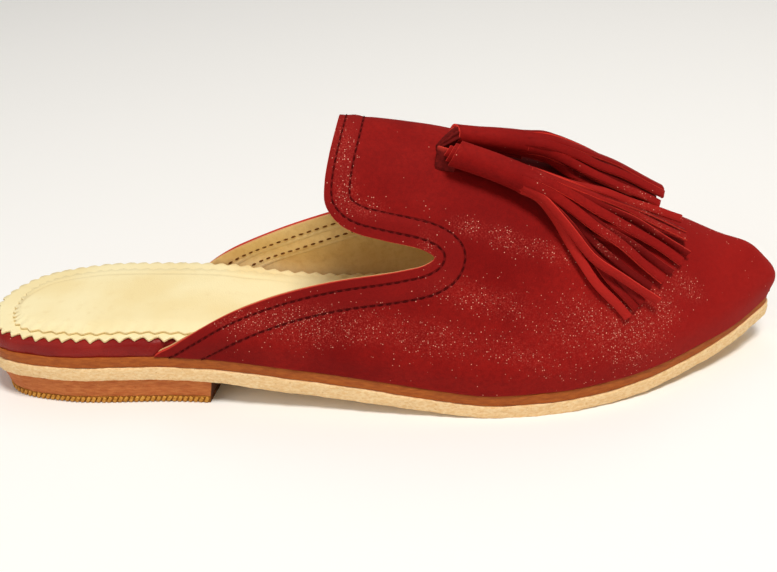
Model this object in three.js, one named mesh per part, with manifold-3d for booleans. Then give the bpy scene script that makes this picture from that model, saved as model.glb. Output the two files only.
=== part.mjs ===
// A right-foot babouche: a backless pointed leather slipper on a low stacked heel,
// with two rolled and fringed leather tassels on the vamp.
//
// Millimetres. +X runs from the heel to the toe, +Y to the inner (big-toe) side, -Y to the
// outer side, +Z up. The floor is z = 0. x = 0 is the back of the heel, y = 0 the heel's middle.
// The finished group is shifted so that its box is centred over the origin.

import * as THREE from 'three';
import { mergeVertices } from 'three/addons/utils/BufferGeometryUtils.js';
import Module from 'manifold-3d';

// ---------------------------------------------------------------- driving dimensions

const GAP = 0.3; // clearance between pieces that are glued or lie on each other
const OUTSOLE = 4.1; // thickness of the raw-edged outsole
const MIDSOLE = 3.5; // thickness of the tan midsole
const MIDSOLE_TIP = 1.9; // and at the toe tip, where it is pared thin
const TOPLIFT = 2.4; // thickness of the ribbed toplift
const WALL = 2.0; // upper leather and its lining together
const RAND = 5.1; // footbed thickness at the heel, where its covered edge shows
const RAND_FRONT = 2.6; // footbed thickness inside the forefoot
const SOCK = 1.6; // insole sock thickness

const HEEL_BREAST = 80.6; // outer corner of the heel's front face, at its top
const HEEL_SKEW = 7; // how much further forward its inner corner is
const HEEL_RAKE = 2; // how far back the foot of that face lies
const HEEL_INSET_TOP = 0.8; // heel edge inside the outsole edge, at its top
const HEEL_INSET_FOOT = 1.6; // and at the floor
const HEEL_BACK_RAKE = 3; // how much further forward the heel's back is at the floor

const RAND_INSET = 0.9; // footbed edge inside the sole edge, behind the upper
const RAND_ROUND = 2.2; // rounding of the footbed's covered shoulder
const SOCK_INSET = 2.6; // insole edge inside the sole edge, behind the upper
const LINED_INSET = 3.0; // footbed edge inside the sole edge, within the upper
const UPPER_START = 64; // where the quarters leave the sole
const FOOTBED_NARROWS = 55; // where the footbed starts to narrow so as to lie inside them

const TOE_SPREAD = 1.0; // how far the upper's plan stands outside the sole edge at its fullest
const SIDE_SWELL = 1.6; // how much fuller the wall is at SWELL_HEIGHT than at mid height
const SWELL_HEIGHT = 8; // height of the fullest point above the midsole
const SWELL_SOFTNESS = 7;
const NOSE = 15; // length of the rounded end of the toe
const NOSE_SQUARE = 3.6; // larger is blunter
const NOSE_REACH = 20; // length over which the toe overhangs the sole tip
const NOSE_PUSH = 3.0;
const NOSE_TUCK = 1.3;

// Names the columns of a table: one object for each row.
function table(columns, rows) {
  const names = columns.split(' ');
  return rows.map((row) => Object.fromEntries(names.map((name, i) => [name, row[i]])));
}

// Sole outline seen from above, from the back of the heel along the outer side to the toe tip
// and back along the inner side.
const OUTLINE = table('x y', [
  [0.6, -0.5], [7, -20.3], [29, -28.6], [69, -30], [110, -34.5],
  [150, -40], [180, -41.2], [210, -34], [239, -17.5], [257, -3],
  [264, 6.5], [255, 14], [235, 24.3], [210, 35], [185, 40],
  [150, 35], [110, 26.8], [70, 28], [30, 28.3], [8.5, 18.5],
]);

// Underside of the outsole: flat over the heel, down through the arch to the ball, up to the toe.
const UNDERSIDE = table('x z', [
  [-5, 9.6], [60, 9.6], [80, 9.1], [105, 6.9], [130, 4.6], [155, 1.5],
  [170, 0], [190, 0], [215, 1.0], [240, 4.3], [266, 10.4], [275, 12.6],
]);

// Ridge of the upper: its height, its sideways place and how square each section is (2 = ellipse).
const RIDGE = table('x z y square', [
  [60, 93, -1, 1.9],
  [100, 89, 0, 1.9],
  [125, 86, 0.5, 1.9],
  [150, 82, 1, 1.95],
  [175, 73.5, 2, 2.0],
  [200, 62, 3, 2.05],
  [220, 51.8, 4, 2.1],
  [235, 43.9, 5.5, 2.15],
  [248, 38, 6.5, 2.2],
  [258, 35.2, 7, 2.2],
  [267, 33, 7, 2.2],
]);

// Topline seen from the side: up the quarter to the side notch, back under the tongue's
// corner and up its free edge.
const TOPLINE = table('x z', [
  [60.5, 15.5], [64, 18.7], [68.6, 21.2], [74.7, 25.4], [82.9, 30.3], [93.6, 35.3],
  [106.6, 40], [121.8, 44], [143.6, 47.8], [151.5, 49.6], [154.5, 51.7],
  [151, 54.1], [138.9, 56.9], [130.3, 59], [125.3, 61.7], [121.7, 66.6],
  [121.6, 72], [123, 79], [125.1, 86], [127, 93],
]);

// Each tassel lies on the vamp between two edges, given by x and by the girth measured over
// the vamp from its ridge (negative to the outer side); low and high are its underside and
// its top above the vamp.
const TASSELS = {
  tassel_outer: table('outerX outerGirth innerX innerGirth low high', [
    [158, -19.0, 158, -10.9, 0.5, 8.6],
    [166, -20.6, 167, -11.6, 0.6, 9.4],
    [176, -22.4, 178, -12.4, 0.7, 10.0],
    [185, -27, 188, -11.0, 0.8, 8.8],
    [192, -33, 199, -9.6, 0.8, 7.0],
    [199, -39, 211, -7.4, 0.8, 5.8],
    [206, -45, 222, -5.0, 0.8, 5.0],
    [212, -49, 231, -2.6, 0.8, 4.2],
  ]),
  tassel_inner: table('outerX outerGirth innerX innerGirth low high', [
    [158, -10.4, 158, -3.6, 0.4, 7.4],
    [167, -10.4, 167, -1.6, 0.6, 8.8],
    [178, -9.4, 178, 0.8, 0.9, 9.8],
    [190, -7.4, 189, 6.4, 1.0, 9.6],
    [201, -4.6, 199, 11.6, 1.0, 9.0],
    [212, -1.4, 209, 16.4, 1.0, 8.2],
    [222, 1.6, 218, 20.4, 1.0, 7.0],
    [229, 3.6, 223, 23.0, 1.0, 6.0],
  ]),
};

// The strap loop that the tassels hang from: a flat strip that leaves the vamp and bends over.
const STRAP = { x: 152.6, girth: -11.6, width: 5.4, thickness: 1.6, reach: 4.6, height: 5.0 };

const COLOURS = {
  outsole: { color: '#e9cf9a', roughness: 0.85 },
  midsole: { color: '#a5652a', roughness: 0.7 },
  heel_block: { color: '#b0713c', roughness: 0.7 },
  toplift: { color: '#c9923f', roughness: 0.75 },
  footbed: { color: '#8a1f24', roughness: 0.5 },
  insole: { color: '#f3e2b4', roughness: 0.6 },
  upper: { color: '#96191a', roughness: 0.75 },
  tassel_outer: { color: '#9c1d1c', roughness: 0.75 },
  tassel_inner: { color: '#9c1d1c', roughness: 0.75 },
  tassel_strap: { color: '#85161a', roughness: 0.75 },
};

// ---------------------------------------------------------------- curves

const clamp = THREE.MathUtils.clamp;
const lerp = THREE.MathUtils.lerp;

// A smooth curve through one column of a table, without overshoot between its rows.
function curve(rows, key) {
  const x = rows.map((row) => row.x);
  const y = rows.map((row) => row[key]);
  const last = x.length - 1;
  const step = x.slice(1).map((value, i) => value - x[i]);
  const slope = step.map((length, i) => (y[i + 1] - y[i]) / length);
  const tangent = x.map((_, i) => {
    if (i === 0) return endTangent(step[0], step[1], slope[0], slope[1]);
    if (i === last) return endTangent(step[last - 1], step[last - 2], slope[last - 1], slope[last - 2]);
    if (slope[i - 1] * slope[i] <= 0) return 0;
    const before = 2 * step[i] + step[i - 1];
    const after = step[i] + 2 * step[i - 1];
    return (before + after) / (before / slope[i - 1] + after / slope[i]);
  });
  return (at) => {
    const place = clamp(at, x[0], x[last]);
    let i = 0;
    while (i < last - 1 && place > x[i + 1]) i += 1;
    const t = (place - x[i]) / step[i];
    const rise = step[i] * (t * (1 - t) ** 2 * tangent[i] - t * t * (1 - t) * tangent[i + 1]);
    return y[i] * (1 + 2 * t) * (1 - t) ** 2 + y[i + 1] * t * t * (3 - 2 * t) + rise;
  };
}

function endTangent(near, far, nearSlope, farSlope) {
  const tangent = ((2 * near + far) * nearSlope - near * farSlope) / (near + far);
  if (tangent * nearSlope <= 0) return 0;
  if (nearSlope * farSlope < 0 && Math.abs(tangent) > 3 * Math.abs(nearSlope)) return 3 * nearSlope;
  return tangent;
}

// The sole outline moved inwards by inset (outwards if negative), as the y of its outer and
// inner side over x, and the x where it starts and ends.
function outlineEdge(inset) {
  const corners = OUTLINE.map((row) => new THREE.Vector3(row.x, row.y, 0));
  const loop = new THREE.CatmullRomCurve3(corners, true, 'centripetal');
  const count = OUTLINE.length * 24;
  const points = [];
  for (let i = 0; i < count; i += 1) {
    const tangent = loop.getTangent(i / count);
    const inward = new THREE.Vector3(-tangent.y, tangent.x, 0);
    points.push(loop.getPoint(i / count).addScaledVector(inward, inset));
  }
  const back = points.reduce((best, point, i) => (point.x < points[best].x ? i : best), 0);
  const turned = points.slice(back).concat(points.slice(0, back + 1));
  const front = turned.reduce((best, point, i) => (point.x > turned[best].x ? i : best), 0);
  const outer = turned.slice(0, front + 1);
  const inner = turned.slice(front).reverse();
  return {
    from: turned[0].x,
    to: turned[front].x,
    outer: (x) => sideAt(outer, x),
    inner: (x) => sideAt(inner, x),
  };
}

function sideAt(points, x) {
  let i = 0;
  while (i < points.length - 2 && points[i + 1].x < x) i += 1;
  const a = points[i];
  const b = points[i + 1];
  const t = b.x > a.x ? clamp((x - a.x) / (b.x - a.x), 0, 1) : 0;
  return lerp(a.y, b.y, t);
}

// One edge behind x = start, another one in front of x = end, eased from one to the other.
function joinEdges(behind, ahead, start, end) {
  const share = (x) => THREE.MathUtils.smoothstep(x, start, end);
  return {
    from: behind.from,
    to: ahead.to,
    outer: (x) => lerp(behind.outer(x), ahead.outer(x), share(x)),
    inner: (x) => lerp(behind.inner(x), ahead.inner(x), share(x)),
  };
}

const underside = curve(UNDERSIDE, 'z');
const outsoleTop = (x) => underside(x) + OUTSOLE;
const midsoleBottom = (x) => outsoleTop(x) + GAP;
const midsoleThickness = (x) => lerp(MIDSOLE, MIDSOLE_TIP, THREE.MathUtils.smoothstep(x, 212, 268));
const midsoleTop = (x) => midsoleBottom(x) + midsoleThickness(x);
const feather = (x) => midsoleTop(x) + GAP;
const footbedTop = (x) => feather(x) + lerp(RAND, RAND_FRONT, THREE.MathUtils.smoothstep(x, 60, 160));

// ---------------------------------------------------------------- solids

const wasm = await Module();
wasm.setup();

// A closed body through rings of points with equal counts. The caps at both ends are strips
// that run back and forth between the two halves of the ring, so a bent ring keeps its shape.
// Points that coincide are merged, and the faces that this empties are dropped.
function loft(rings) {
  const count = rings[0].length;
  const faces = [];
  for (let i = 0; i < rings.length - 1; i += 1) {
    for (let j = 0; j < count; j += 1) {
      const a = i * count + j;
      const b = i * count + ((j + 1) % count);
      faces.push([a, b, b + count], [a, b + count, a + count]);
    }
  }
  const lastRing = (rings.length - 1) * count;
  for (let low = 0, high = count; high - low > 1; low += 1, high -= 1) {
    const facing = high % count;
    faces.push([facing, low + 1, low], [facing, high - 1, low + 1]);
    faces.push([facing, low, low + 1].map((corner) => corner + lastRing));
    faces.push([facing, low + 1, high - 1].map((corner) => corner + lastRing));
  }
  return closedGeometry(rings.flat(), faces);
}

function closedGeometry(points, faces) {
  const loose = new THREE.BufferGeometry().setFromPoints(points);
  loose.setIndex(faces.flat());
  const merged = mergeVertices(loose, 2e-3);
  const index = merged.index.array;
  const kept = [];
  for (let i = 0; i < index.length; i += 3) {
    const [a, b, c] = [index[i], index[i + 1], index[i + 2]];
    if (a !== b && b !== c && c !== a) kept.push(a, b, c);
  }
  merged.setIndex(signedVolume(merged.attributes.position, kept) < 0 ? kept.reverse() : kept);
  return merged;
}

function signedVolume(position, index) {
  const [a, b, c] = [new THREE.Vector3(), new THREE.Vector3(), new THREE.Vector3()];
  let sum = 0;
  for (let i = 0; i < index.length; i += 3) {
    a.fromBufferAttribute(position, index[i]);
    b.fromBufferAttribute(position, index[i + 1]);
    c.fromBufferAttribute(position, index[i + 2]);
    sum += a.dot(b.cross(c));
  }
  return sum / 6;
}

function toSolid(geometry) {
  const bare = geometry.clone();
  bare.deleteAttribute('normal');
  bare.deleteAttribute('uv');
  const merged = mergeVertices(bare, 1e-4);
  const mesh = new wasm.Mesh({
    numProp: 3,
    vertProperties: new Float32Array(merged.attributes.position.array),
    triVerts: new Uint32Array(merged.index.array),
  });
  return new wasm.Manifold(mesh);
}

function toGeometry(solid) {
  const mesh = solid.getMesh();
  const geometry = new THREE.BufferGeometry();
  geometry.setAttribute('position', new THREE.BufferAttribute(mesh.vertProperties, 3));
  geometry.setIndex(new THREE.BufferAttribute(mesh.triVerts, 1));
  return geometry;
}

// Shares from 0 to 1, closer together at the ends that are round.
function shares(count, roundStart, roundEnd) {
  const start = roundStart ? 0 : Math.PI / 2;
  const end = roundEnd ? Math.PI : Math.PI / 2;
  const span = Math.cos(start) - Math.cos(end);
  const list = [];
  for (let i = 0; i <= count; i += 1) {
    list.push((Math.cos(start) - Math.cos(lerp(start, end, i / count))) / span);
  }
  return list;
}

// ---------------------------------------------------------------- sole and insole

// A layer between two surfaces over x, with its own outline, its upper rim rounded off.
function layer({ edge, bottom, top, round = 0, flat = [] }) {
  const xs = shares(44, true, true).map((share) => lerp(edge.from, edge.to, share));
  const places = xs.filter((x) => flat.every((stop) => Math.abs(x - stop) > 1.5)).concat(flat);
  places.sort((a, b) => a - b);
  return loft(places.map((x) => {
    const outer = edge.outer(x);
    const inner = Math.max(edge.inner(x), outer);
    const cut = Math.min(round, (inner - outer) / 4);
    const half = cut * 0.3;
    const rim = [[outer, bottom(x)], [inner, bottom(x)], [inner, top(x) - cut]];
    if (round > 0) rim.push([inner - half, top(x) - half], [inner - cut, top(x)]);
    if (round > 0) rim.push([outer + cut, top(x)], [outer + half, top(x) - half]);
    rim.push([outer, top(x) - cut]);
    return rim.map(([y, z]) => new THREE.Vector3(x, y, z));
  }));
}

// A lift of the heel between two heights, each with its own inset. Towards the floor its back
// moves forwards and its slanted front face backwards.
function heelLift(insetAt, low, high) {
  const levels = [low, high].map((heightAt) => {
    const edge = outlineEdge(insetAt(heightAt(0)));
    const drop = 1 - heightAt(0) / underside(0);
    return { edge, heightAt, drop, breast: HEEL_BREAST - HEEL_RAKE * drop };
  });
  return loft(shares(22, true, false).map((share) => {
    const corners = levels.map(({ edge, heightAt, drop, breast }) => {
      const corner = (side, front) => {
        const x = lerp(edge.from, front, share);
        const forward = HEEL_BACK_RAKE * drop * (1 - share) ** 2;
        return new THREE.Vector3(x + forward, side(x), heightAt(x));
      };
      return [corner(edge.outer, breast), corner(edge.inner, breast + HEEL_SKEW)];
    });
    return [corners[0][0], corners[0][1], corners[1][1], corners[1][0]];
  }));
}

const heelInset = (z) => lerp(HEEL_INSET_FOOT, HEEL_INSET_TOP, z / underside(0));

function makeOutsole() {
  return layer({ edge: outlineEdge(0), bottom: underside, top: outsoleTop, flat: [170, 190] });
}

function makeMidsole() {
  return layer({ edge: outlineEdge(0.4), bottom: midsoleBottom, top: midsoleTop });
}

function makeHeelBlock() {
  return heelLift(heelInset, () => TOPLIFT, (x) => underside(x) - GAP);
}

function makeToplift() {
  return heelLift(heelInset, () => 0, () => TOPLIFT);
}

function makeFootbed() {
  const behind = outlineEdge(RAND_INSET);
  const edge = joinEdges(behind, outlineEdge(LINED_INSET), FOOTBED_NARROWS, UPPER_START - 3);
  return layer({ edge, bottom: feather, top: footbedTop, round: RAND_ROUND });
}

function makeInsole() {
  const behind = outlineEdge(SOCK_INSET);
  const edge = joinEdges(behind, outlineEdge(LINED_INSET + 0.6), FOOTBED_NARROWS, UPPER_START - 3);
  const bottom = (x) => footbedTop(x) + GAP;
  return layer({ edge, bottom, top: (x) => bottom(x) + SOCK });
}

// ---------------------------------------------------------------- upper

const ridgeZ = curve(RIDGE, 'z');
const ridgeY = curve(RIDGE, 'y');
const ridgeSquare = curve(RIDGE, 'square');

// One face of the upper, as deep under the outer face as depth says.
function lastFace(depth) {
  const edge = outlineEdge(depth - TOE_SPREAD);
  return { edge, depth, tip: edge.to };
}

const outerFace = lastFace(0);
const innerFace = lastFace(WALL);

// The point of a face at station x and at an angle around the section: 0 at the outer side's
// feather line, PI / 2 on the ridge, PI at the inner side's feather line.
function facePoint(face, x, angle) {
  const floor = feather(x);
  const steepness = ridgeZ(x + 0.5) - ridgeZ(x - 0.5);
  const crown = ridgeZ(x) - face.depth * Math.hypot(1, steepness);
  const toeShare = clamp((x - face.tip + NOSE) / NOSE, 0, 1);
  const height = (crown - floor) * Math.sqrt(1 - toeShare ** NOSE_SQUARE);
  const outer = face.edge.outer(x);
  const inner = face.edge.inner(x);
  const middle = clamp(ridgeY(x), lerp(outer, inner, 0.3), lerp(outer, inner, 0.7));
  const across = Math.cos(angle);
  const half = across > 0 ? middle - outer : inner - middle;
  const power = 2 / ridgeSquare(x);
  const rise = height * Math.abs(Math.sin(angle)) ** power;
  const swell = SIDE_SWELL * Math.exp(-(((rise - SWELL_HEIGHT) / SWELL_SOFTNESS) ** 2));
  const pull = Math.min(SIDE_SWELL - swell, 0.7 * half);
  const y = middle - Math.sign(across) * half * Math.abs(across) ** power + across * pull;
  const reach = clamp((x - face.tip + NOSE_REACH) / NOSE_REACH, 0, 1) ** 2;
  const overhang = NOSE_PUSH * Math.exp(-(((rise - SWELL_HEIGHT) / 6) ** 2)) - NOSE_TUCK;
  return new THREE.Vector3(x + reach * overhang, y, floor + rise);
}

// The solid under one face, from x = start to the toe, going down to depth below the feather line.
function lastSolid(face, start, depth) {
  const around = 30;
  const xs = shares(34, false, true).map((share) => lerp(start, face.tip - 0.03, share));
  return toSolid(loft(xs.map((x) => {
    const ring = [];
    for (let j = 0; j <= around; j += 1) ring.push(facePoint(face, x, (Math.PI * j) / around));
    if (depth > 0) {
      const down = new THREE.Vector3(0, 0, -depth);
      ring.push(ring[around].clone().add(down), ring[0].clone().add(down));
    }
    return ring;
  })));
}

// Everything behind the topline, as a block straight across the shoe.
function behindTopline() {
  const points = TOPLINE.map((row) => new THREE.Vector3(row.x, row.z, 0));
  const line = new THREE.CatmullRomCurve3(points, false, 'centripetal').getPoints(TOPLINE.length * 4);
  const outline = new THREE.Shape(line.map((point) => new THREE.Vector2(point.x, point.y)));
  outline.lineTo(127, 120);
  outline.lineTo(20, 120);
  outline.lineTo(20, -10);
  outline.lineTo(line[0].x, -10);
  const block = new THREE.ExtrudeGeometry(outline, { depth: 160, bevelEnabled: false });
  block.rotateX(Math.PI / 2).translate(0, 80, 0);
  return toSolid(block);
}

function makeUpper() {
  const hollow = lastSolid(innerFace, 38, 12);
  return toGeometry(lastSolid(outerFace, 50, 0).subtract(hollow).subtract(behindTopline()));
}

// ---------------------------------------------------------------- tassels

// The point at a girth over the vamp from its ridge, raised above it by height.
function overVamp(x, girth, height) {
  const at = (place, distance) => {
    const steps = 240;
    const side = distance < 0 ? 0 : Math.PI;
    let here = facePoint(outerFace, place, Math.PI / 2);
    let left = Math.abs(distance);
    for (let j = 1; j <= steps; j += 1) {
      const next = facePoint(outerFace, place, lerp(Math.PI / 2, side, j / steps));
      const length = next.distanceTo(here);
      if (length >= left) return here.lerp(next, left / length);
      left -= length;
      here = next;
    }
    return here;
  };
  const along = at(x + 1, girth).sub(at(x - 1, girth));
  const across = at(x, girth + 1).sub(at(x, girth - 1));
  const outward = along.cross(across).normalize();
  if (outward.z < 0) outward.negate();
  return at(x, girth).addScaledVector(outward, height);
}

// Evenly spaced rows of a table, each column smoothed over the row number.
function resample(rows, count) {
  const numbered = rows.map((row, x) => ({ ...row, x }));
  const columns = Object.keys(rows[0]).map((key) => [key, curve(numbered, key)]);
  const at = (place) => Object.fromEntries(columns.map(([key, smooth]) => [key, smooth(place)]));
  return Array.from({ length: count }, (_, i) => at((i * (rows.length - 1)) / (count - 1)));
}

// A roll that opens into a fan, lying over the vamp.
function makeTassel(rows) {
  const around = 18;
  return loft(resample(rows, 20).map((row) => {
    const ring = [];
    for (let j = 0; j < around; j += 1) {
      const angle = (2 * Math.PI * j) / around;
      const share = (1 + Math.cos(angle)) / 2;
      const x = lerp(row.outerX, row.innerX, share);
      const girth = lerp(row.outerGirth, row.innerGirth, share);
      const height = lerp(row.low, row.high, (1 + Math.sin(angle)) / 2);
      ring.push(overVamp(x, girth, height));
    }
    return ring;
  }));
}

// The strap stands on the vamp behind the rolls and leans forward over to them.
function makeStrap() {
  const { x, girth, width, thickness, reach, height } = STRAP;
  const steps = 5;
  const rings = [];
  for (let i = 0; i <= steps; i += 1) {
    const share = i / steps;
    const place = x + reach * share;
    const low = GAP + (height - thickness) * share;
    const halfWidth = (width / 2) * (1 - 0.15 * share);
    const high = low + thickness;
    const corners = [[-halfWidth, low], [halfWidth, low], [halfWidth, high], [-halfWidth, high]];
    rings.push(corners.map(([across, up]) => overVamp(place, girth + across, up)));
  }
  return loft(rings);
}

// ---------------------------------------------------------------- the slipper

const pieces = {
  outsole: makeOutsole(),
  midsole: makeMidsole(),
  heel_block: makeHeelBlock(),
  toplift: makeToplift(),
  footbed: makeFootbed(),
  insole: makeInsole(),
  upper: makeUpper(),
  tassel_outer: makeTassel(TASSELS.tassel_outer),
  tassel_inner: makeTassel(TASSELS.tassel_inner),
  tassel_strap: makeStrap(),
};

const slipper = new THREE.Group();
for (const [name, geometry] of Object.entries(pieces)) {
  const mesh = new THREE.Mesh(geometry, new THREE.MeshStandardMaterial(COLOURS[name]));
  mesh.name = name;
  slipper.add(mesh);
}
const middle = new THREE.Box3().setFromObject(slipper).getCenter(new THREE.Vector3());
slipper.position.set(-middle.x, -middle.y, 0);

export default slipper;
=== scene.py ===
"""The looks of a right-foot babouche: red nubuck upper, raw-edged leather sole, two tassels.

Shapes are worked out in millimetres in the shoe's own frame: x from the back of the heel to
the toe, -y the outer side, z up from the floor. in_row() puts them in the shared frame, in metres.
"""

import math

import bmesh
import bpy
import numpy as np
from mathutils import Matrix, Vector
from mathutils.kdtree import KDTree


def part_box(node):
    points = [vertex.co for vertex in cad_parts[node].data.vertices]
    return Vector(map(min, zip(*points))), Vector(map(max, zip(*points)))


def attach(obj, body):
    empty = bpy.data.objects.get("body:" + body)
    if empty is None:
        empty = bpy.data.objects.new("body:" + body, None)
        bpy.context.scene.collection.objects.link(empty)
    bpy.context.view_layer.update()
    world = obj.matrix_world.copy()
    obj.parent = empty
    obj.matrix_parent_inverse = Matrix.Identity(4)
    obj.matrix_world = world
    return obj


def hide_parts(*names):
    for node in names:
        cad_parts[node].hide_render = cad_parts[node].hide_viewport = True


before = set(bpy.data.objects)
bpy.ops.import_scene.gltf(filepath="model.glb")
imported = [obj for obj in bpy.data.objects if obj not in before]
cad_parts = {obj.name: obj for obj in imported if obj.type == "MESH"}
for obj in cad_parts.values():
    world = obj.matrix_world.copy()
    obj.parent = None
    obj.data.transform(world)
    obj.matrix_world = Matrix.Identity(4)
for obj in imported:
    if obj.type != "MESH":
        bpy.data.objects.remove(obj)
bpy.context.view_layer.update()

# ------------------------------------------------------------------ sizes of the slipper

OUTSOLE = 4.1
MIDSOLE = 3.5
MIDSOLE_TIP = 1.9  # its pared thickness at the toe
MIDSOLE_PARED = (212, 268)  # where the paring begins and where it is full
TOPLIFT = 2.4
RIB = {"Pitch": 1.8, "Length": 1.1, "Width": 2.0, "Height": 0.9}  # round the toplift
GLUE_LINE = 0.3  # what the construction leaves between the layers
GLUE_FILL = 0.12  # how far each layer closes it again
LEATHER = 1.3  # thickness of the outer leather
LINING = 0.66
LINING_GAP = 0.04
SOCK_LEAF = 0.85  # thickness of each of the sock's two leaves

HEEL_BREAST = 80.6  # x of the heel's front
HEEL_WIDTH = 58
HEEL_SKEW = 7  # how much further forward the front ends on the inner side
HEEL_RAKE = 2  # how far the front leans back at the floor
HEEL_INSET_TOP = 0.8
HEEL_INSET_FOOT = 1.6
HEEL_BACK_RAKE = 3  # how far the heel's back leans forward at the floor
MIDSOLE_INSET = 0.4
RAND_HEEL = 5.1  # height of the footbed's red edge at the heel
RAND_FRONT = 2.6  # and inside the upper
RAND_INSET = 0.9
RAND_ROUND = 2.3  # radius of its upper corner
LINED_INSET = 3.0  # of the footbed where the upper surrounds it
UPPER_START = 64

TOE_SPREAD = 1.0  # how far the upper's plan stands outside the sole's outline
SIDE_SWELL = 1.6  # how far the sides bulge over the feather line
SWELL_HEIGHT = 8
SWELL_SOFTNESS = 7
NOSE = 15  # the length in which the ridge drops at the toe
NOSE_SQUARE = 3.6  # and how sudden its drop is
NOSE_REACH = 20
NOSE_PUSH = 3.0  # how far the toe bulges forward
NOSE_SOFTNESS = 6
NOSE_TUCK = 1.3  # how far its foot lies back

SEAM_NEAR = 2.9  # distance of the two stitch rows from the topline
SEAM_FAR = 9.0
SEAM_DRAW = 0.6  # how much nearer to the topline they lie on the tongue
SEAM_SQUEEZE = 0.09  # and how much closer together, as a share
SEAM_DRAW_FROM = 58  # height where the tongue begins to draw them in
SEAM_DRAW_FULL = 72
SEAM_DRAW_EDGE = 1.4  # distance over which the cut edge itself stays in place
SEAM_PAD = 0.34  # rise of the padded band between them
SEAM_DIP = 0.16  # depth of the dip beside the far one
STITCH = {"Pitch": 2.6, "Length": 1.95, "Width": 0.48, "Height": 0.34}
LINING_STITCH = {"Pitch": 3.0, "Length": 1.9, "Width": 0.75, "Height": 0.5}
STITCH_SCATTER = 0.08
LINING_SEAMS = (4.0, 9.0)
LINING_RIDGES = (5.6, 11.0)  # where the lining is raised beside them
PINKING = 4.8  # pitch of the sock's pinked teeth
PAD_INSET = 12.0  # from the sole's edge to the heel pad under the sock
PAD_RISE = 0.7
ARCH_RISE = 0.5  # of the soft fold in front of the pad

OUTLINE = [
    (0.6, -0.5), (7, -20.3), (29, -28.6), (69, -30), (110, -34.5),
    (150, -40), (180, -41.2), (210, -34), (239, -17.5), (257, -3),
    (264, 6.5), (255, 14), (235, 24.3), (210, 35), (185, 40),
    (150, 35), (110, 26.8), (70, 28), (30, 28.3), (8.5, 18.5),
]

UNDERSIDE = [
    (-5, 9.6), (60, 9.6), (80, 9.1), (105, 6.9), (130, 4.6), (155, 1.5),
    (170, 0), (190, 0), (215, 1.0), (240, 4.3), (266, 10.4), (275, 12.6),
]

# x, height, sideways place and squareness of the upper's ridge
RIDGE = [
    (60, 93, -1, 1.9), (100, 89, 0, 1.9), (125, 86, 0.5, 1.9), (150, 82, 1, 1.95),
    (175, 73.5, 2, 2.0), (200, 62, 3, 2.05), (220, 51.8, 4, 2.1), (235, 43.9, 5.5, 2.15),
    (248, 38, 6.5, 2.2), (258, 35.2, 7, 2.2), (267, 33, 7, 2.2),
]

# the topline seen from the side, x and z
TOPLINE = [
    (60.5, 15.5), (64, 18.7), (68.6, 21.2), (74.7, 25.4), (82.9, 30.3), (93.6, 35.3),
    (106.6, 40), (121.8, 44), (143.6, 47.8), (151.5, 49.6), (154.5, 51.7),
    (151, 54.1), (138.9, 56.9), (130.3, 59), (125.3, 61.7), (121.7, 66.6),
    (121.6, 72), (123, 79), (125.1, 86), (127, 93),
]

# Soft folds of the upper: x, girth from the ridge, half length, half width, turn, rise.
CREASES = [
    (136, -22, 16, 6, 70, -0.35),
    (146, -33, 12, 5, 20, 0.35),
    (160, -30, 15, 5, -20, -0.40),
    (172, -40, 22, 8, -25, 0.45),
    (186, -52, 20, 7, -15, -0.35),
    (150, -58, 24, 7, 5, 0.40),
    (120, -62, 18, 5, 12, -0.30),
    (205, -34, 16, 8, 20, -0.40),
    (224, -22, 12, 8, 30, 0.35),
    (205, 30, 18, 8, -15, -0.40),
    (176, 40, 20, 8, 25, 0.40),
    (160, 30, 14, 5, 20, -0.35),
    (136, 22, 15, 6, -70, -0.30),
    (122, 62, 18, 6, -10, -0.30),
    (240, 4, 10, 10, 0, 0.25),
]

# Where the glitter is thick: x, girth, half length, half width, share.
GLITTER = [
    (165, -35, 6, 3, 0.40), (177, -36, 7, 3.5, 0.46), (189, -35.5, 8, 3, 0.40), (201, -52, 9, 6, 0.50),
    (209, -54, 9, 7, 0.62), (215, -47, 9, 6, 0.60), (223, -37, 6, 5, 0.52), (232, -27, 6, 4, 0.44),
    (96, -70, 12, 3.5, 0.54), (113, -70, 14, 6, 0.6), (129, -70, 12, 5, 0.5), (142, -69, 16, 4, 0.24),
    (127, -14, 3.5, 10, 0.38), (128, -28, 3.5, 8, 0.40), (134, -33, 6, 3, 0.34), (167, -56, 14, 5, 0.30),
    (152, -71, 18, 6, 0.28), (180, -70, 16, 5, 0.26), (192, -60, 12, 8, 0.24), (152, -44, 3, 6, 0.26),
    (190, 40, 24, 10, 0.34), (130, 62, 24, 8, 0.26), (236, 10, 12, 10, 0.18), (160, 30, 20, 8, 0.2),
]
GLITTER_STRENGTH = 0.9

# Centre line of each rolled tassel head: x, girth, radius, lift over the vamp.
OUTER_ROLL = [
    (160.5, -15.7, 4.8, 0.3), (165.0, -16.3, 4.8, 0.4), (172, -17.2, 4.8, 0.5), (180.5, -18.6, 4.9, 0.5),
]
INNER_ROLL = [
    (159.9, -7.6, 3.8, 0.0), (165.5, -6.9, 4.0, 0.1), (172, -6.0, 4.4, 0.4), (180.5, -4.8, 4.8, 1.0),
]

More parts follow.
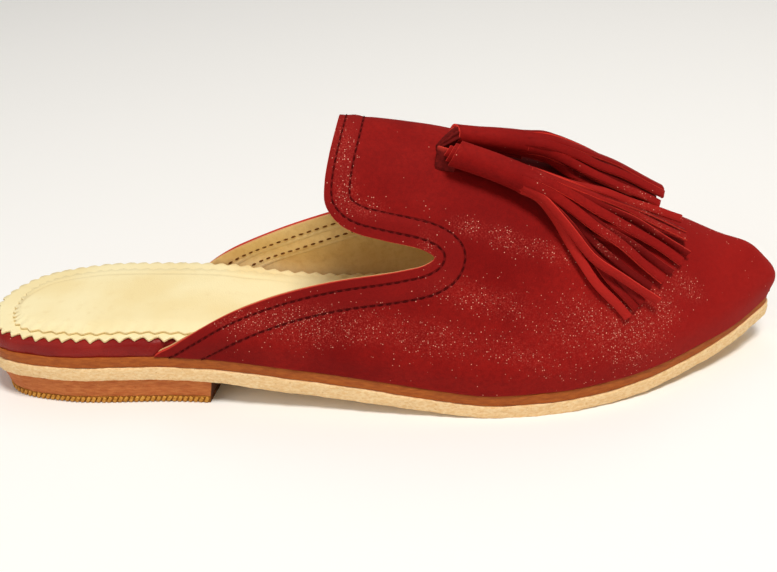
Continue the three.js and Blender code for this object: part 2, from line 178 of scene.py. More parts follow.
# Fringe strips: start angle round the roll (0 is up, 90 the outer side) and its layer in
# the roll, then x, girth and height half way and at the tip, the tip's turn, the width, and
# the strip's painted shade, below 0 painted light for the paler ones.
OUTER_FRINGE = [
    (108, 0, 202.4, -39.9, 1.9, 211.9, -46.1, 1.2, 18, 1.04, -0.7),
    (74, 0, 201.0, -33.6, 4.6, 220.6, -37.1, 3.0, 40, 1.00, -0.55),
    (40, 0, 207.6, -25.4, 3.4, 223.4, -29.2, 1.6, -12, 1.16, -0.1),
    (6, 0, 210.0, -19.6, 4.0, 230.0, -20.4, 1.8, 14, 1.06, 0),
    (-28, 0, 213.6, -13.0, 3.6, 231.8, -12.4, 2.4, -18, 1.04, -0.2),
    (-62, 0, 212.6, -9.6, 4.2, 230.4, -6.4, 3.4, 34, 1.00, -0.45),
    (116, 1, 207.4, -37.2, 1.0, 214.8, -42.0, 0.9, -14, 0.92, 0.55),
    (78, 1, 206.6, -34.4, 1.4, 216.9, -39.2, 1.1, 10, 0.92, 0.65),
    (26, 1, 211.4, -22.8, 1.6, 226.9, -25.4, 1.0, 38, 0.92, 0.75),
    (-12, 1, 212.8, -16.2, 3.6, 232.2, -17.2, 2.0, 66, 0.92, 0.55),
    (-48, 1, 215.0, -10.8, 3.4, 232.0, -9.2, 2.0, -30, 0.92, 0.65),
    (52, 2, 207.0, -29.4, 0.7, 219.6, -33.6, 0.7, 0, 0.86, 0.9),
    (-30, 2, 211.0, -14.0, 0.8, 226.0, -15.6, 0.7, -8, 0.86, 0.9),
]
INNER_FRINGE = [
    (80, 0, 205.0, -5.6, 5.2, 222.8, -5.4, 4.6, 20, 1.04, -0.1),
    (46, 0, 206.0, -1.6, 7.0, 224.2, -0.8, 5.8, 36, 1.04, 0.2),
    (12, 0, 206.5, 2.6, 7.8, 224.8, 4.6, 6.2, 16, 1.06, 0),
    (-22, 0, 205.0, 6.6, 7.0, 223.0, 9.4, 5.6, -16, 1.04, 0.1),
    (-56, 0, 203.0, 11.4, 6.0, 223.4, 18.2, 3.6, 18, 1.02, 0.2),
    (-90, 0, 200.6, 14.8, 3.4, 218.6, 22.0, 2.0, -8, 1.00, 0),
    (92, 1, 204.0, -3.6, 2.2, 221.0, -0.6, 1.4, -24, 0.92, 0.65),
    (60, 1, 206.0, -1.6, 5.2, 222.5, -1.0, 4.0, 20, 1.06, 0.75),
    (24, 1, 205.0, 4.4, 6.0, 222.8, 6.8, 4.0, 26, 1.04, 0.55),
    (-20, 1, 203.6, 9.4, 4.0, 223.8, 15.8, 2.4, -16, 0.92, 0.65),
    (-60, 1, 201.4, 13.2, 2.4, 220.6, 20.4, 1.4, 10, 0.92, 0.75),
    (20, 2, 204.0, 3.0, 1.4, 222.0, 7.6, 1.0, 0, 0.86, 0.9),
    (124, 0, 200.0, -6.2, 2.2, 219.6, -4.6, 1.2, -10, 1.0, 0.1),
    (160, 0, 200.0, -2.6, 2.4, 224.0, -2.0, 3.0, 4, 1.0, 0.2),
]
STRIP_WIDTH = 2.7
STRIP_THICKNESS = 1.0
STRIP_CORNER = 0.22
ROLL_PITCH = STRIP_THICKNESS + 0.12  # from one turn of a rolled head to the next
ROLL_TURNS = 2.7
ROLL_START = {"outer": math.radians(200), "inner": math.radians(168)}  # where the outermost turn ends
ROLL_PLACES = np.linspace(0, 1, 34)
STRAP_HALF = 0.5  # half the strap's thickness

# ------------------------------------------------------------------ curves


def lerp(a, b, share):
    return a + (b - a) * share


def eased(value, low, high):
    """0 below low, 1 above high, smooth in between."""
    share = np.clip((value - low) / (high - low), 0, 1)
    return share * share * (3 - 2 * share)


def unit(vectors):
    length = np.linalg.norm(vectors, axis=-1, keepdims=True)
    return vectors / np.maximum(length, 1e-9)


def end_tangent(near, far, near_slope, far_slope):
    """The slope at the end of a curve, from the steps and slopes of its two last stretches."""
    tangent = ((2 * near + far) * near_slope - near * far_slope) / (near + far)
    if tangent * near_slope <= 0:
        return 0.0
    if near_slope * far_slope < 0 and abs(tangent) > 3 * abs(near_slope):
        return 3 * near_slope
    return tangent


def column(rows, index):
    """A smooth curve through one column of a table over its first, without overshoot."""
    x = np.array([row[0] for row in rows], float)
    y = np.array([row[index] for row in rows], float)
    step = np.diff(x)
    slope = np.diff(y) / step
    tangent = np.zeros_like(y)
    for i in range(1, len(x) - 1):
        if slope[i - 1] * slope[i] > 0:
            before = 2 * step[i] + step[i - 1]
            after = step[i] + 2 * step[i - 1]
            tangent[i] = (before + after) / (before / slope[i - 1] + after / slope[i])
    tangent[0] = end_tangent(step[0], step[1], slope[0], slope[1])
    tangent[-1] = end_tangent(step[-1], step[-2], slope[-1], slope[-2])

    def at(place):
        p = np.clip(place, x[0], x[-1])
        i = np.clip(np.searchsorted(x, p) - 1, 0, len(x) - 2)
        t = (p - x[i]) / step[i]
        rise = step[i] * (t * (1 - t) ** 2 * tangent[i] - t * t * (1 - t) * tangent[i + 1])
        return y[i] * (1 + 2 * t) * (1 - t) ** 2 + y[i + 1] * t * t * (3 - 2 * t) + rise

    return at


def rounded(points, steps, closed=False):
    """A centripetal Catmull-Rom curve through points, with steps places in each stretch."""
    p = np.array(points, float)
    if closed:
        p = np.vstack([p[-1:], p, p[:2]])
    else:
        p = np.vstack([2 * p[:1] - p[1:2], p, 2 * p[-1:] - p[-2:-1]])
    t = (np.arange(steps) / steps)[:, None]
    curve = []
    for i in range(1, len(p) - 2):
        gaps = [np.linalg.norm(p[i + k] - p[i + k - 1]) ** 0.5 for k in (0, 1, 2)]
        start = (p[i] - p[i - 1]) / gaps[0] - (p[i + 1] - p[i - 1]) / (gaps[0] + gaps[1])
        start = (start + (p[i + 1] - p[i]) / gaps[1]) * gaps[1]
        end = (p[i + 1] - p[i]) / gaps[1] - (p[i + 2] - p[i]) / (gaps[1] + gaps[2])
        end = (end + (p[i + 2] - p[i + 1]) / gaps[2]) * gaps[1]
        bend = 3 * (p[i + 1] - p[i]) - 2 * start - end
        curl = start + end - 2 * (p[i + 1] - p[i])
        curve.append(p[i] + start * t + bend * t ** 2 + curl * t ** 3)
    if not closed:
        curve.append(p[-2:-1])
    return np.vstack(curve)


def travel(points):
    """Distance along a line up to each of its points."""
    steps = np.linalg.norm(np.diff(points, axis=0), axis=1)
    return np.concatenate([[0.0], np.cumsum(steps)])


def spread_along(points, count, *others):
    """The line, and other values along it, at evenly spaced places."""
    far = travel(points)
    places = np.linspace(0, far[-1], count)
    lines = [points, *others]
    return [np.stack([np.interp(places, far, line[:, k]) for k in range(line.shape[1])], 1) for line in lines]


def ripple(seed, waves):
    """A wavy function of distance made of (wavelength, size) pairs with phases of their own."""
    phases = np.random.default_rng(seed).uniform(0, 2 * math.pi, (len(waves), 2))

    def at(distance, level=0.0):
        total = 0.0
        for (length, size), (phase, drift) in zip(waves, phases):
            total = total + size * np.sin(2 * math.pi * distance / length + phase + level * (1 + drift))
        return total

    return at


# ------------------------------------------------------------------ the last

LOOP = rounded(OUTLINE, 40, closed=True)
LOOP_TANGENT = unit(np.roll(LOOP, -1, axis=0) - np.roll(LOOP, 1, axis=0))
LOOP_OUTWARD = np.stack([LOOP_TANGENT[:, 1], -LOOP_TANGENT[:, 0]], axis=1)


def sides(inset):
    """The two sides of the sole outline moved inwards, each from the heel's back to the toe:
    points and outward directions."""
    loop = LOOP - LOOP_OUTWARD * inset
    back = int(np.argmin(loop[:, 0]))
    loop = np.roll(loop, -back, axis=0)
    outward = np.roll(LOOP_OUTWARD, -back, axis=0)
    front = int(np.argmax(loop[:, 0]))
    outer = loop[: front + 1], outward[: front + 1]
    inner = np.vstack([loop[front:], loop[:1]])[::-1], np.vstack([outward[front:], outward[:1]])[::-1]
    return outer, inner


def edge_lines(inset):
    """The outer and the inner side's y over x, and the x of the tip."""
    (outer, _), (inner, _) = sides(inset)
    lines = [(np.maximum.accumulate(line[:, 0]), line[:, 1]) for line in (outer, inner)]
    return (lambda x: np.interp(x, *lines[0])), (lambda x: np.interp(x, *lines[1])), outer[-1, 0]


ridge_z = column(RIDGE, 1)
ridge_y = column(RIDGE, 2)
ridge_square = column(RIDGE, 3)
underside = column(UNDERSIDE, 1)
UPPER_OUTER, UPPER_INNER, TIP = edge_lines(-TOE_SPREAD)


def outsole_top(x):
    return underside(x) + OUTSOLE


def midsole_top(x):
    return outsole_top(x) + GLUE_LINE + lerp(MIDSOLE, MIDSOLE_TIP, eased(x, *MIDSOLE_PARED))


def feather(x):
    return midsole_top(x) + GLUE_LINE


def footbed_top(x):
    return feather(x) + lerp(RAND_HEEL, RAND_FRONT, eased(x, 60, 160))


def upper_point(x, angle):
    """The upper's outer face: angle 0 is the outer side's feather line, pi / 2 the ridge."""
    floor = feather(x)
    toe_share = np.clip((x - TIP + NOSE) / NOSE, 0, 1)
    height = (ridge_z(x) - floor) * np.sqrt(1 - toe_share ** NOSE_SQUARE)
    outer = UPPER_OUTER(x)
    inner = UPPER_INNER(x)
    middle = np.clip(ridge_y(x), lerp(outer, inner, 0.3), lerp(outer, inner, 0.7))
    across = np.cos(angle)
    half = np.where(across > 0, middle - outer, inner - middle)
    power = 2 / ridge_square(x)
    rise = height * np.abs(np.sin(angle)) ** power
    swell = SIDE_SWELL * np.exp(-(((rise - SWELL_HEIGHT) / SWELL_SOFTNESS) ** 2))
    pull = np.minimum(SIDE_SWELL - swell, 0.7 * half)
    y = middle - np.sign(across) * half * np.abs(across) ** power + across * pull
    reach = np.clip((x - TIP + NOSE_REACH) / NOSE_REACH, 0, 1) ** 2
    overhang = NOSE_PUSH * np.exp(-(((rise - SWELL_HEIGHT) / NOSE_SOFTNESS) ** 2)) - NOSE_TUCK
    return np.stack([x + reach * overhang, y, floor + rise], axis=-1)


def upper_normal(x, angle):
    ahead = upper_point(x + 0.2, angle) - upper_point(x - 0.2, angle)
    low = np.maximum(angle - 0.004, 0)
    high = np.minimum(angle + 0.004, math.pi)
    return unit(np.cross(ahead, upper_point(x, high) - upper_point(x, low)))


GIRTH_STEP = 2.0
GIRTH_X = np.arange(56, 266, GIRTH_STEP)
GIRTH_ANGLES = np.linspace(0, math.pi, 241)


def girth_rows():
    """For each x, the girth from the ridge at each angle, negative on the outer side."""
    points = upper_point(GIRTH_X[:, None], GIRTH_ANGLES[None, :])
    steps = np.linalg.norm(np.diff(points, axis=1), axis=2)
    far = np.concatenate([np.zeros((len(GIRTH_X), 1)), np.cumsum(steps, axis=1)], axis=1)
    return far - far[:, [len(GIRTH_ANGLES) // 2]]


GIRTHS = girth_rows()


def girth_row(x):
    """The girths at all angles for one x."""
    place = np.clip((x - GIRTH_X[0]) / GIRTH_STEP, 0, len(GIRTH_X) - 1.001)
    i = int(place)
    return lerp(GIRTHS[i], GIRTHS[i + 1], place - i)


def over_vamp(x, girth, height):
    """Points at a girth from the ridge and a height over the upper, and the normals there."""
    x, girth, height = np.broadcast_arrays(*[np.asarray(v, float) for v in (x, girth, height)])
    angle = np.array([np.interp(g, girth_row(p), GIRTH_ANGLES) for p, g in zip(x, girth)])
    normal = upper_normal(x, angle)
    return upper_point(x, angle) + normal * height[:, None], normal


SHIFT = np.array([
    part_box("outsole")[0].x * 1000 - sides(0)[0][0][0, 0],
    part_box("outsole")[0].y * 1000 - LOOP[:, 1].min(),
    0.0,
])


def in_row(points):
    return (np.asarray(points, float) + SHIFT) / 1000


# ------------------------------------------------------------------ meshes


def link(mesh, name):
    piece = bpy.data.objects.new(name, mesh)
    bpy.context.scene.collection.objects.link(piece)
    return piece


def solid(name, points, faces, material, marks):
    """A closed mesh in the shared frame: doubles merged, faces outwards. marks are point values."""
    mesh = bpy.data.meshes.new(name)
    mesh.from_pydata(in_row(points).tolist(), [], faces.tolist())
    for mark, values in marks.items():
        mesh.attributes.new(mark, "FLOAT", "POINT").data.foreach_set("value", np.asarray(values, np.float32))
    shape = bmesh.new()
    shape.from_mesh(mesh)
    bmesh.ops.remove_doubles(shape, verts=shape.verts, dist=2e-6)
    bmesh.ops.recalc_face_normals(shape, faces=shape.faces)
    if shape.calc_volume(signed=True) < 0:
        bmesh.ops.reverse_faces(shape, faces=shape.faces)
    shape.to_mesh(mesh)
    shape.free()
    mesh.polygons.foreach_set("use_smooth", [True] * len(mesh.polygons))
    mesh.materials.append(material)
    return link(mesh, name)


def ring_faces(rings, count):
    """Quads through rings of points, and strips that close both ends."""
    i, j = np.meshgrid(np.arange(rings - 1), np.arange(count), indexing="ij")
    a = (i * count + j).ravel()
    b = (i * count + (j + 1) % count).ravel()
    around = np.stack([a, b, b + count, a + count], axis=1)
    low = np.arange(0, count // 2)
    high = count - low
    caps = np.stack([high % count, low, low + 1, high - 1], axis=1)
    caps = caps[(caps[:, 3] > caps[:, 2])]
    last = (rings - 1) * count
    return np.vstack([around, caps[:, ::-1], caps + last])


def loft(name, rings, material, marks=None):
    """A closed skin through rings of points. marks holds one value for each point."""
    rings = np.asarray(rings, float)
    faces = ring_faces(rings.shape[0], rings.shape[1])
    marks = {mark: np.asarray(values).ravel() for mark, values in (marks or {}).items()}
    return solid(name, rings.reshape(-1, 3), faces, material, marks)


def finish_piece(piece, slot, *nodes):
    """Hands a piece over to the root body and hides the nodes that it stands for. slot is not used."""
    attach(piece, "root")
    if nodes:
        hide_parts(*nodes)


def feed(tree, socket, value):
    if isinstance(value, bpy.types.NodeSocket):
        tree.links.new(value, socket)
    else:
        socket.default_value = value


def add_node(tree, kind, feeds=None, **settings):
    """A new node with its settings made and its inputs set or linked."""
    node = tree.nodes.new(kind)
    for name, value in settings.items():
        setattr(node, name, value)
    for socket, value in (feeds or {}).items():
        feed(tree, node.inputs[socket], value)
    return node


def step(tree, kind, feeds=None, **settings):
    """The first output of a new node."""
    return add_node(tree, kind, feeds, **settings).outputs[0]


# ------------------------------------------------------------------ finishes


def tone(red, green, blue):
    """A colour in display values from 0 to 255, as the shader wants it."""
    values = [c / 255 for c in (red, green, blue)]
    return tuple(c / 12.92 if c <= 0.04045 else ((c + 0.055) / 1.055) ** 2.4 for c in values) + (1.0,)


class Finish:
    """A material in the making: its shader, and short calls for the nodes that feed it."""

    def __init__(self, name, **constants):
        self.material = bpy.data.materials.new(name)
        self.material.use_nodes = True
        self.tree = self.material.node_tree
        self.shader = self.tree.nodes["Principled BSDF"]
        for socket, value in constants.items():
            self.shader.inputs[socket.replace("_", " ")].default_value = value
        self.place = add_node(self.tree, "ShaderNodeTexCoord").outputs["Object"]
        self.normal = None

    def stretched(self, scale):
        return step(self.tree, "ShaderNodeMapping", {"Vector": self.place, "Scale": scale})

    def noise(self, size, detail=2.0, roughness=0.5, place=None):
        """Soft noise with patches about size millimetres wide."""
        feeds = {"Vector": place or self.place, "Scale": 1000 / size}
        return step(self.tree, "ShaderNodeTexNoise", {**feeds, "Detail": detail, "Roughness": roughness})

    def cells(self, size):
        """Distance from the middle and colour of cells about size millimetres wide."""
        feeds = {"Vector": self.place, "Scale": 1000 / size}
        outputs = add_node(self.tree, "ShaderNodeTexVoronoi", feeds).outputs
        return outputs["Distance"], outputs["Color"]

    def mark(self, name):
        """A value that the mesh stores on its points or faces."""
        return add_node(self.tree, "ShaderNodeAttribute", attribute_name=name).outputs["Fac"]

    def between(self, value, low, high, start=0.0, end=1.0):
        """value from low to high, eased, becomes start to end."""
        feeds = {0: value, 1: low, 2: high, 3: start, 4: end}
        return step(self.tree, "ShaderNodeMapRange", feeds, interpolation_type="SMOOTHSTEP")

    def reckon(self, kind, a, b=0.0):
        return step(self.tree, "ShaderNodeMath", {0: a, 1: b}, operation=kind)

    def line(self, distance, place, near, far):
        """1 up to near from the place where distance has one value, 0 from far on."""
        gap = self.reckon("ABSOLUTE", self.reckon("SUBTRACT", distance, place))
        return self.between(gap, near, far, 1.0, 0.0)

    def blend(self, share, a, b):
        return add_node(self.tree, "ShaderNodeMix", {0: share, 6: a, 7: b}, data_type="RGBA").outputs[2]

    def colour(self, value):
        feed(self.tree, self.shader.inputs["Base Color"], value)

    def rough(self, value):
        feed(self.tree, self.shader.inputs["Roughness"], value)

    def relief(self, height, depth):
        """Adds a bump of the height field, depth millimetres deep."""
        feeds = {"Height": height, "Distance": depth / 1000, "Strength": 1.0}
        if self.normal is not None:
            feeds["Normal"] = self.normal
        self.normal = step(self.tree, "ShaderNodeBump", feeds)
        feed(self.tree, self.shader.inputs["Normal"], self.normal)


def glitter(finish, patches, colour):
    """Tiny bright flakes and a fine dust, scattered where patches is high. Returns the colour
    with them and the share of flake."""
    gap, chance = finish.cells(0.54)
    near = finish.between(gap, 0.14, 0.40, 1.0, 0.0)
    picks = add_node(finish.tree, "ShaderNodeSeparateColor", {0: chance}).outputs
    chosen = finish.reckon("GREATER_THAN", finish.reckon("ADD", picks[0], patches), 1.0)
    bright = finish.between(picks[1], 0.1, 1.0, 0.35, 1.0)
    flake = finish.reckon("MULTIPLY", finish.reckon("MULTIPLY", near, chosen), bright)
    dust = finish.between(finish.noise(0.5, 2.0, 0.6), 0.48, 0.64)
    dust = finish.reckon("MULTIPLY", dust, finish.between(patches, 0.0, 0.3, 0.0, 0.36))
    colour = finish.blend(dust, colour, tone(196, 74, 62))
    return finish.blend(flake, colour, tone(246, 176, 150)), flake


def nubuck(name):
    """The start of a red nubuck: its finish, its nap and its mottled red, with a painted highlight that
    lightens it towards the toe.
    """
    finish = Finish(name, Roughness=0.78, Specular_IOR_Level=0.10, Sheen_Weight=0.05, Sheen_Roughness=0.5)
    finish.shader.inputs["Sheen Tint"].default_value = tone(255, 120, 100)
    mottle = finish.noise(38, 3.0, 0.55)
    nap = finish.noise(1.6, 4.0, 0.7)
    red = finish.blend(finish.between(mottle, 0.36, 0.66), tone(126, 8, 6), tone(147, 19, 14))
    red = finish.blend(finish.between(nap, 0.30, 0.75, 0.0, 0.45), red, tone(104, 5, 5))
    # painted highlight: along x the red grows lighter towards the toe
    ahead = step(finish.tree, "ShaderNodeSeparateXYZ", {0: finish.place})
    return finish, nap, finish.blend(finish.between(ahead, 0.03, 0.115, 0.0, 0.34), red, tone(172, 30, 26))


def sprinkled(finish, nap, red, patches):
    """The end of a red nubuck: glitter over its colour, and its relief."""
    red, flake = glitter(finish, patches, red)
    finish.colour(red)
    finish.rough(finish.between(flake, 0.0, 1.0, 0.74, 0.35))
    finish.relief(nap, 0.10)
    finish.relief(finish.noise(0.45, 2.0, 0.6), 0.035)
    finish.relief(finish.noise(9, 2.0, 0.5), 0.12)
    return finish.material


def upper_nubuck():
    """The upper's nubuck: painted shade round the topline, seam grooves darkened with painted shade,
    glitter in patches and a bright cut edge."""
    finish, nap, red = nubuck("nubuck")
    distance = finish.mark("edge_distance")
    # painted shade: the band between the topline and the far seam is darkened
    topline_shade = finish.between(distance, SEAM_FAR, SEAM_FAR + 1.2, 1.0, 0.0)
    red = finish.blend(finish.reckon("MULTIPLY", topline_shade, 0.35), red, tone(132, 22, 20))
    for seam in (SEAM_NEAR, SEAM_FAR):
        groove = finish.line(distance, seam, 0.12, 0.55)
        # painted shade: the leather is darkened in each seam groove
        red = finish.blend(finish.reckon("MULTIPLY", groove, 0.6), red, tone(84, 7, 8))
        finish.relief(groove, -0.22)
    red = finish.blend(finish.between(distance, -0.9, -0.1, 1.0, 0.0), red, tone(196, 56, 42))
    sparse = finish.between(finish.noise(26, 2.5, 0.5), 0.50, 0.75, 0.0, 0.06)
    return sprinkled(finish, nap, red, finish.reckon("ADD", sparse, finish.mark("glitter")))


def fringe_nubuck():
    """The tassels' nubuck: painted shade darkens some strips and painted light brightens others, each by a
    value of its own, and their cut edges are bright.
    """
    finish, nap, red = nubuck("fringe_nubuck")
    dark = finish.mark("strip_shade")
    # painted shade and painted light of each strip: above 0 darker, below 0 paler
    shade = finish.between(dark, 0.0, 1.0, 0.0, 0.55)
    # the cut edges take the painted shade too
    edge = finish.blend(shade, tone(212, 56, 44), tone(110, 20, 16))
    # painted light on the paler strips
    red = finish.blend(finish.between(dark, -1.0, 0.0, 0.8, 0.0), red, tone(182, 38, 31))
    # painted shade on the darker strips
    red = finish.blend(shade, red, tone(72, 5, 6))
    red = finish.blend(finish.mark("cut_edge"), red, edge)
    patches = finish.between(finish.noise(15, 2.5, 0.5), 0.50, 0.70, 0.0, 0.26)
    return sprinkled(finish, nap, red, patches)


def strap_suede():
    """The strap's flesh side, dark partly from its own colour and partly from painted shade under the rolled
    heads, with a bright cut edge.
    """
    finish = Finish("strap_suede", Roughness=0.85, Specular_IOR_Level=0.1)
    nap = finish.noise(1.2, 4.0, 0.7)
    # the dark reds are partly the flesh side's colour and partly painted shade
    red = finish.blend(finish.between(nap, 0.3, 0.75), tone(112, 22, 18), tone(80, 11, 10))
    finish.colour(finish.blend(finish.mark("cut_edge"), red, tone(204, 60, 46)))
    finish.relief(nap, 0.12)
    return finish.material


def rand_leather():
    """Smooth red leather with a slight gloss that covers the footbed's edge."""
    finish = Finish("rand_leather", Roughness=0.50, Specular_IOR_Level=0.18)
    grain, _ = finish.cells(0.9)
    tint = finish.noise(14, 3.0)
    red = finish.blend(finish.between(tint, 0.35, 0.7), tone(130, 21, 18), tone(148, 32, 25))
    red, _ = glitter(finish, finish.between(finish.noise(18, 2.0), 0.55, 0.75, 0.0, 0.06), red)
    finish.colour(red)
    finish.rough(finish.between(tint, 0.3, 0.7, 0.36, 0.52))
    finish.relief(finish.between(grain, 0.0, 0.6), 0.05)
    return finish.material


def sole_leather(name, pale, deep, streak_scale, fibre, roughness, dark, dots, breast=None):
    """Cut edge of vegetable-tanned leather: streaks along the edge, loose fibres fibre deep, and
    dark dots. breast is the colour of the painted shade on the heel's front."""
    finish = Finish(name, Roughness=roughness, Specular_IOR_Level=0.2)
    along = finish.stretched(streak_scale)
    streaks = finish.noise(1.0, 4.0, 0.6, along)
    mottle = finish.noise(9, 3.0, 0.6)
    colour = finish.blend(finish.between(streaks, 0.3, 0.7), pale, deep)
    colour = finish.blend(finish.between(mottle, 0.45, 0.8, 0.0, 0.5), colour, deep)
    spots = finish.between(finish.noise(0.9, 2.0, 0.7), 0.62, 0.74, 0.0, dots)
    colour = finish.blend(spots, colour, dark)
    # painted shade: the heel's front is darkened to the breast colour
    if breast:
        colour = finish.blend(finish.mark("breast"), colour, breast)
    finish.colour(colour)
    finish.relief(streaks, fibre)
    finish.relief(finish.noise(0.6, 3.0, 0.7), fibre * 0.6)
    return finish.material


def sock_leather():
    """Pale smooth sock leather with fine pores and faint handling marks, and painted shade on the leaves' cut
    edges and along the heel pad's edge.
    """
    finish = Finish("sock_leather", Roughness=0.5, Specular_IOR_Level=0.3)
    tint = finish.noise(30, 3.0)
    marks = finish.noise(4, 3.0, 0.6)
    colour = finish.blend(finish.between(tint, 0.35, 0.7), tone(250, 236, 188), tone(244, 224, 168))
    colour = finish.blend(finish.between(marks, 0.55, 0.85, 0.0, 0.35), colour, tone(228, 200, 140))
    # painted shade on the leaves' cut edges
    edge = finish.between(finish.mark("leaf_edge"), 0.2, 1.0, 0.0, 0.5)
    colour = finish.blend(edge, colour, tone(216, 178, 112))
    # painted shade along the edge of the heel pad under the upper leaf
    crease = finish.reckon("MULTIPLY", finish.mark("pad_line"), 0.35)
    finish.colour(finish.blend(crease, colour, tone(200, 158, 88)))
    pores, _ = finish.cells(0.7)
    finish.relief(finish.between(pores, 0.0, 0.5), 0.03)
    finish.relief(finish.noise(3, 3.0, 0.6), 0.08)
    return finish.material


def lining_leather():
    """Undyed lining: cream to tan, with two raised lines beside its seams."""
    finish = Finish("lining_leather", Roughness=0.68, Specular_IOR_Level=0.2)
    tint = finish.noise(22, 3.0, 0.6)
    fibre = finish.noise(2.2, 4.0, 0.65)
    colour = finish.blend(finish.between(tint, 0.35, 0.7), tone(246, 214, 150), tone(234, 194, 126))
    colour = finish.blend(finish.between(fibre, 0.4, 0.8, 0.0, 0.4), colour, tone(206, 158, 92))
    distance = finish.mark("edge_distance")
    for place in LINING_RIDGES:
        ridge = finish.line(distance, place, 0.1, 0.9)
        colour = finish.blend(finish.reckon("MULTIPLY", ridge, 0.5), colour, tone(248, 220, 164))
        finish.relief(ridge, 0.12)
    cut = finish.between(distance, -0.9, -0.1, 1.0, 0.0)
    finish.colour(finish.blend(cut, colour, tone(214, 164, 112)))
    finish.relief(fibre, 0.1)
    return finish.material


def thread(name, pale, deep):
    """Twisted sewing thread."""
    finish = Finish(name, Roughness=0.8, Specular_IOR_Level=0.06)
    twist = finish.noise(0.35, 2.0)
    finish.colour(finish.blend(finish.between(twist, 0.35, 0.7), pale, deep))
    finish.relief(twist, 0.05)
    return finish.material


NUBUCK = upper_nubuck()
FRINGE_NUBUCK = fringe_nubuck()
SHADED_STRAP_SUEDE = strap_suede()
RAND_RED = rand_leather()
OUTSOLE_HIDE = sole_leather(
    "outsole_hide", tone(252, 222, 172), tone(238, 196, 138), (0.7, 0.7, 1.6), 0.16, 0.85,
    dark=tone(180, 124, 66), dots=0.4,
)
MIDSOLE_HIDE = sole_leather(
    "midsole_hide", tone(182, 98, 36), tone(158, 78, 28), (0.3, 0.3, 1.2), 0.08, 0.6,
    dark=tone(110, 54, 22), dots=0.3,
)
HEEL_HIDE = sole_leather(
    "heel_hide", tone(206, 124, 66), tone(182, 96, 46), (0.25, 0.25, 1.2), 0.12, 0.65,
    dark=tone(128, 66, 30), dots=0.3, breast=tone(74, 38, 20),
)
TOPLIFT_HIDE = sole_leather(
    "toplift_hide", tone(176, 118, 44), tone(140, 84, 26), (0.6, 0.6, 1.0), 0.3, 0.8,
    dark=tone(96, 54, 16), dots=0.7, breast=tone(84, 46, 18),
)
RIB_HIDE = sole_leather(
    "rib_hide", tone(222, 164, 74), tone(190, 126, 46), (0.6, 0.6, 1.0), 0.2, 0.8,
    dark=tone(128, 76, 26), dots=0.4,
)
SOCK_HIDE = sock_leather()
LINING_HIDE = lining_leather()
RED_THREAD = thread("red_thread", tone(84, 8, 8), tone(56, 5, 5))
BROWN_THREAD = thread("brown_thread", tone(122, 72, 28), tone(84, 46, 16))


# ------------------------------------------------------------------ what follows a line


def start_tree(name, sizes):
    """A new tree that takes a path, sizes and a material, and the outputs of its input node."""
    tree = bpy.data.node_groups.new(name, "GeometryNodeTree")
    kinds = [("Path", "Geometry"), *[(size, "Float") for size in sizes], ("Material", "Material")]
    for socket, kind in kinds:
        tree.interface.new_socket(socket, in_out="INPUT", socket_type="NodeSocket" + kind)
    tree.interface.new_socket("Geometry", in_out="OUTPUT", socket_type="NodeSocketGeometry")
    return tree, add_node(tree, "NodeGroupInput").outputs


def end_tree(tree, geometry, material):
    """Ends a tree: its copies become real and get their material."""
    real = step(tree, "GeometryNodeRealizeInstances", {"Geometry": geometry})
    coated = step(tree, "GeometryNodeSetMaterial", {"Geometry": real, "Material": material})
    add_node(tree, "NodeGroupOutput", {"Geometry": coated})
    return tree


def stored(tree, name, kind="FLOAT"):
    """A value that the path stores on its points."""
    return step(tree, "GeometryNodeInputNamedAttribute", {"Name": name}, data_type=kind)


def line_tree(name, shape):
    """A tree that sets one shape along a path at even steps, turned to the path and standing
    on the surface that the path's surface_normal tells."""
    tree, given = start_tree(name, ("Pitch", "Length", "Width", "Height", "Lean", "Scatter"))
    curve = step(tree, "GeometryNodeMeshToCurve", {"Mesh": given["Path"]})
    feeds = {"Curve": curve, "Length": given["Pitch"]}
    places = step(tree, "GeometryNodeResampleCurve", feeds, mode="LENGTH")
    tangent = step(tree, "GeometryNodeInputTangent")
    along = step(tree, "FunctionNodeAlignRotationToVector", {"Vector": tangent}, axis="X")
    feeds = {"Rotation": along, "Vector": stored(tree, "surface_normal", "FLOAT_VECTOR")}
    upright = step(tree, "FunctionNodeAlignRotationToVector", feeds, axis="Z", pivot_axis="X")
    lean, scatter = given["Lean"], given["Scatter"]
    least = step(tree, "ShaderNodeMath", {0: lean, 1: scatter}, operation="SUBTRACT")
    most = step(tree, "ShaderNodeMath", {0: lean, 1: scatter}, operation="ADD")
    feeds = {2: least, 3: most, "Seed": 11}
    turn = add_node(tree, "FunctionNodeRandomValue", feeds, data_type="FLOAT").outputs[1]
    feeds = {"Rotation": upright, "Rotate By": step(tree, "ShaderNodeCombineXYZ", {"Z": turn})}
    leaning = step(tree, "FunctionNodeRotateRotation", feeds, rotation_space="LOCAL")
    feeds = {"X": given["Length"], "Y": given["Width"], "Z": given["Height"]}
    form = shape(tree, step(tree, "ShaderNodeCombineXYZ", feeds))
    form = step(tree, "GeometryNodeSetShadeSmooth", {"Geometry": form})
    feeds = {"Points": places, "Instance": form, "Rotation": leaning}
    copies = step(tree, "GeometryNodeInstanceOnPoints", feeds)
    return end_tree(tree, copies, given["Material"])


def stitch_shape(tree, size):
    """A short length of thread: a ball stretched along the seam."""
    ball = step(tree, "GeometryNodeMeshUVSphere", {"Segments": 8, "Rings": 6, "Radius": 0.5})
    return step(tree, "GeometryNodeTransform", {"Geometry": ball, "Scale": size})


def rib_shape(tree, size):
    """A soft-edged bar across the path."""
    bar = step(tree, "GeometryNodeMeshCube", {"Size": size})
    return step(tree, "GeometryNodeSubdivisionSurface", {"Mesh": bar, "Level": 2, "Edge Crease": 0.5})


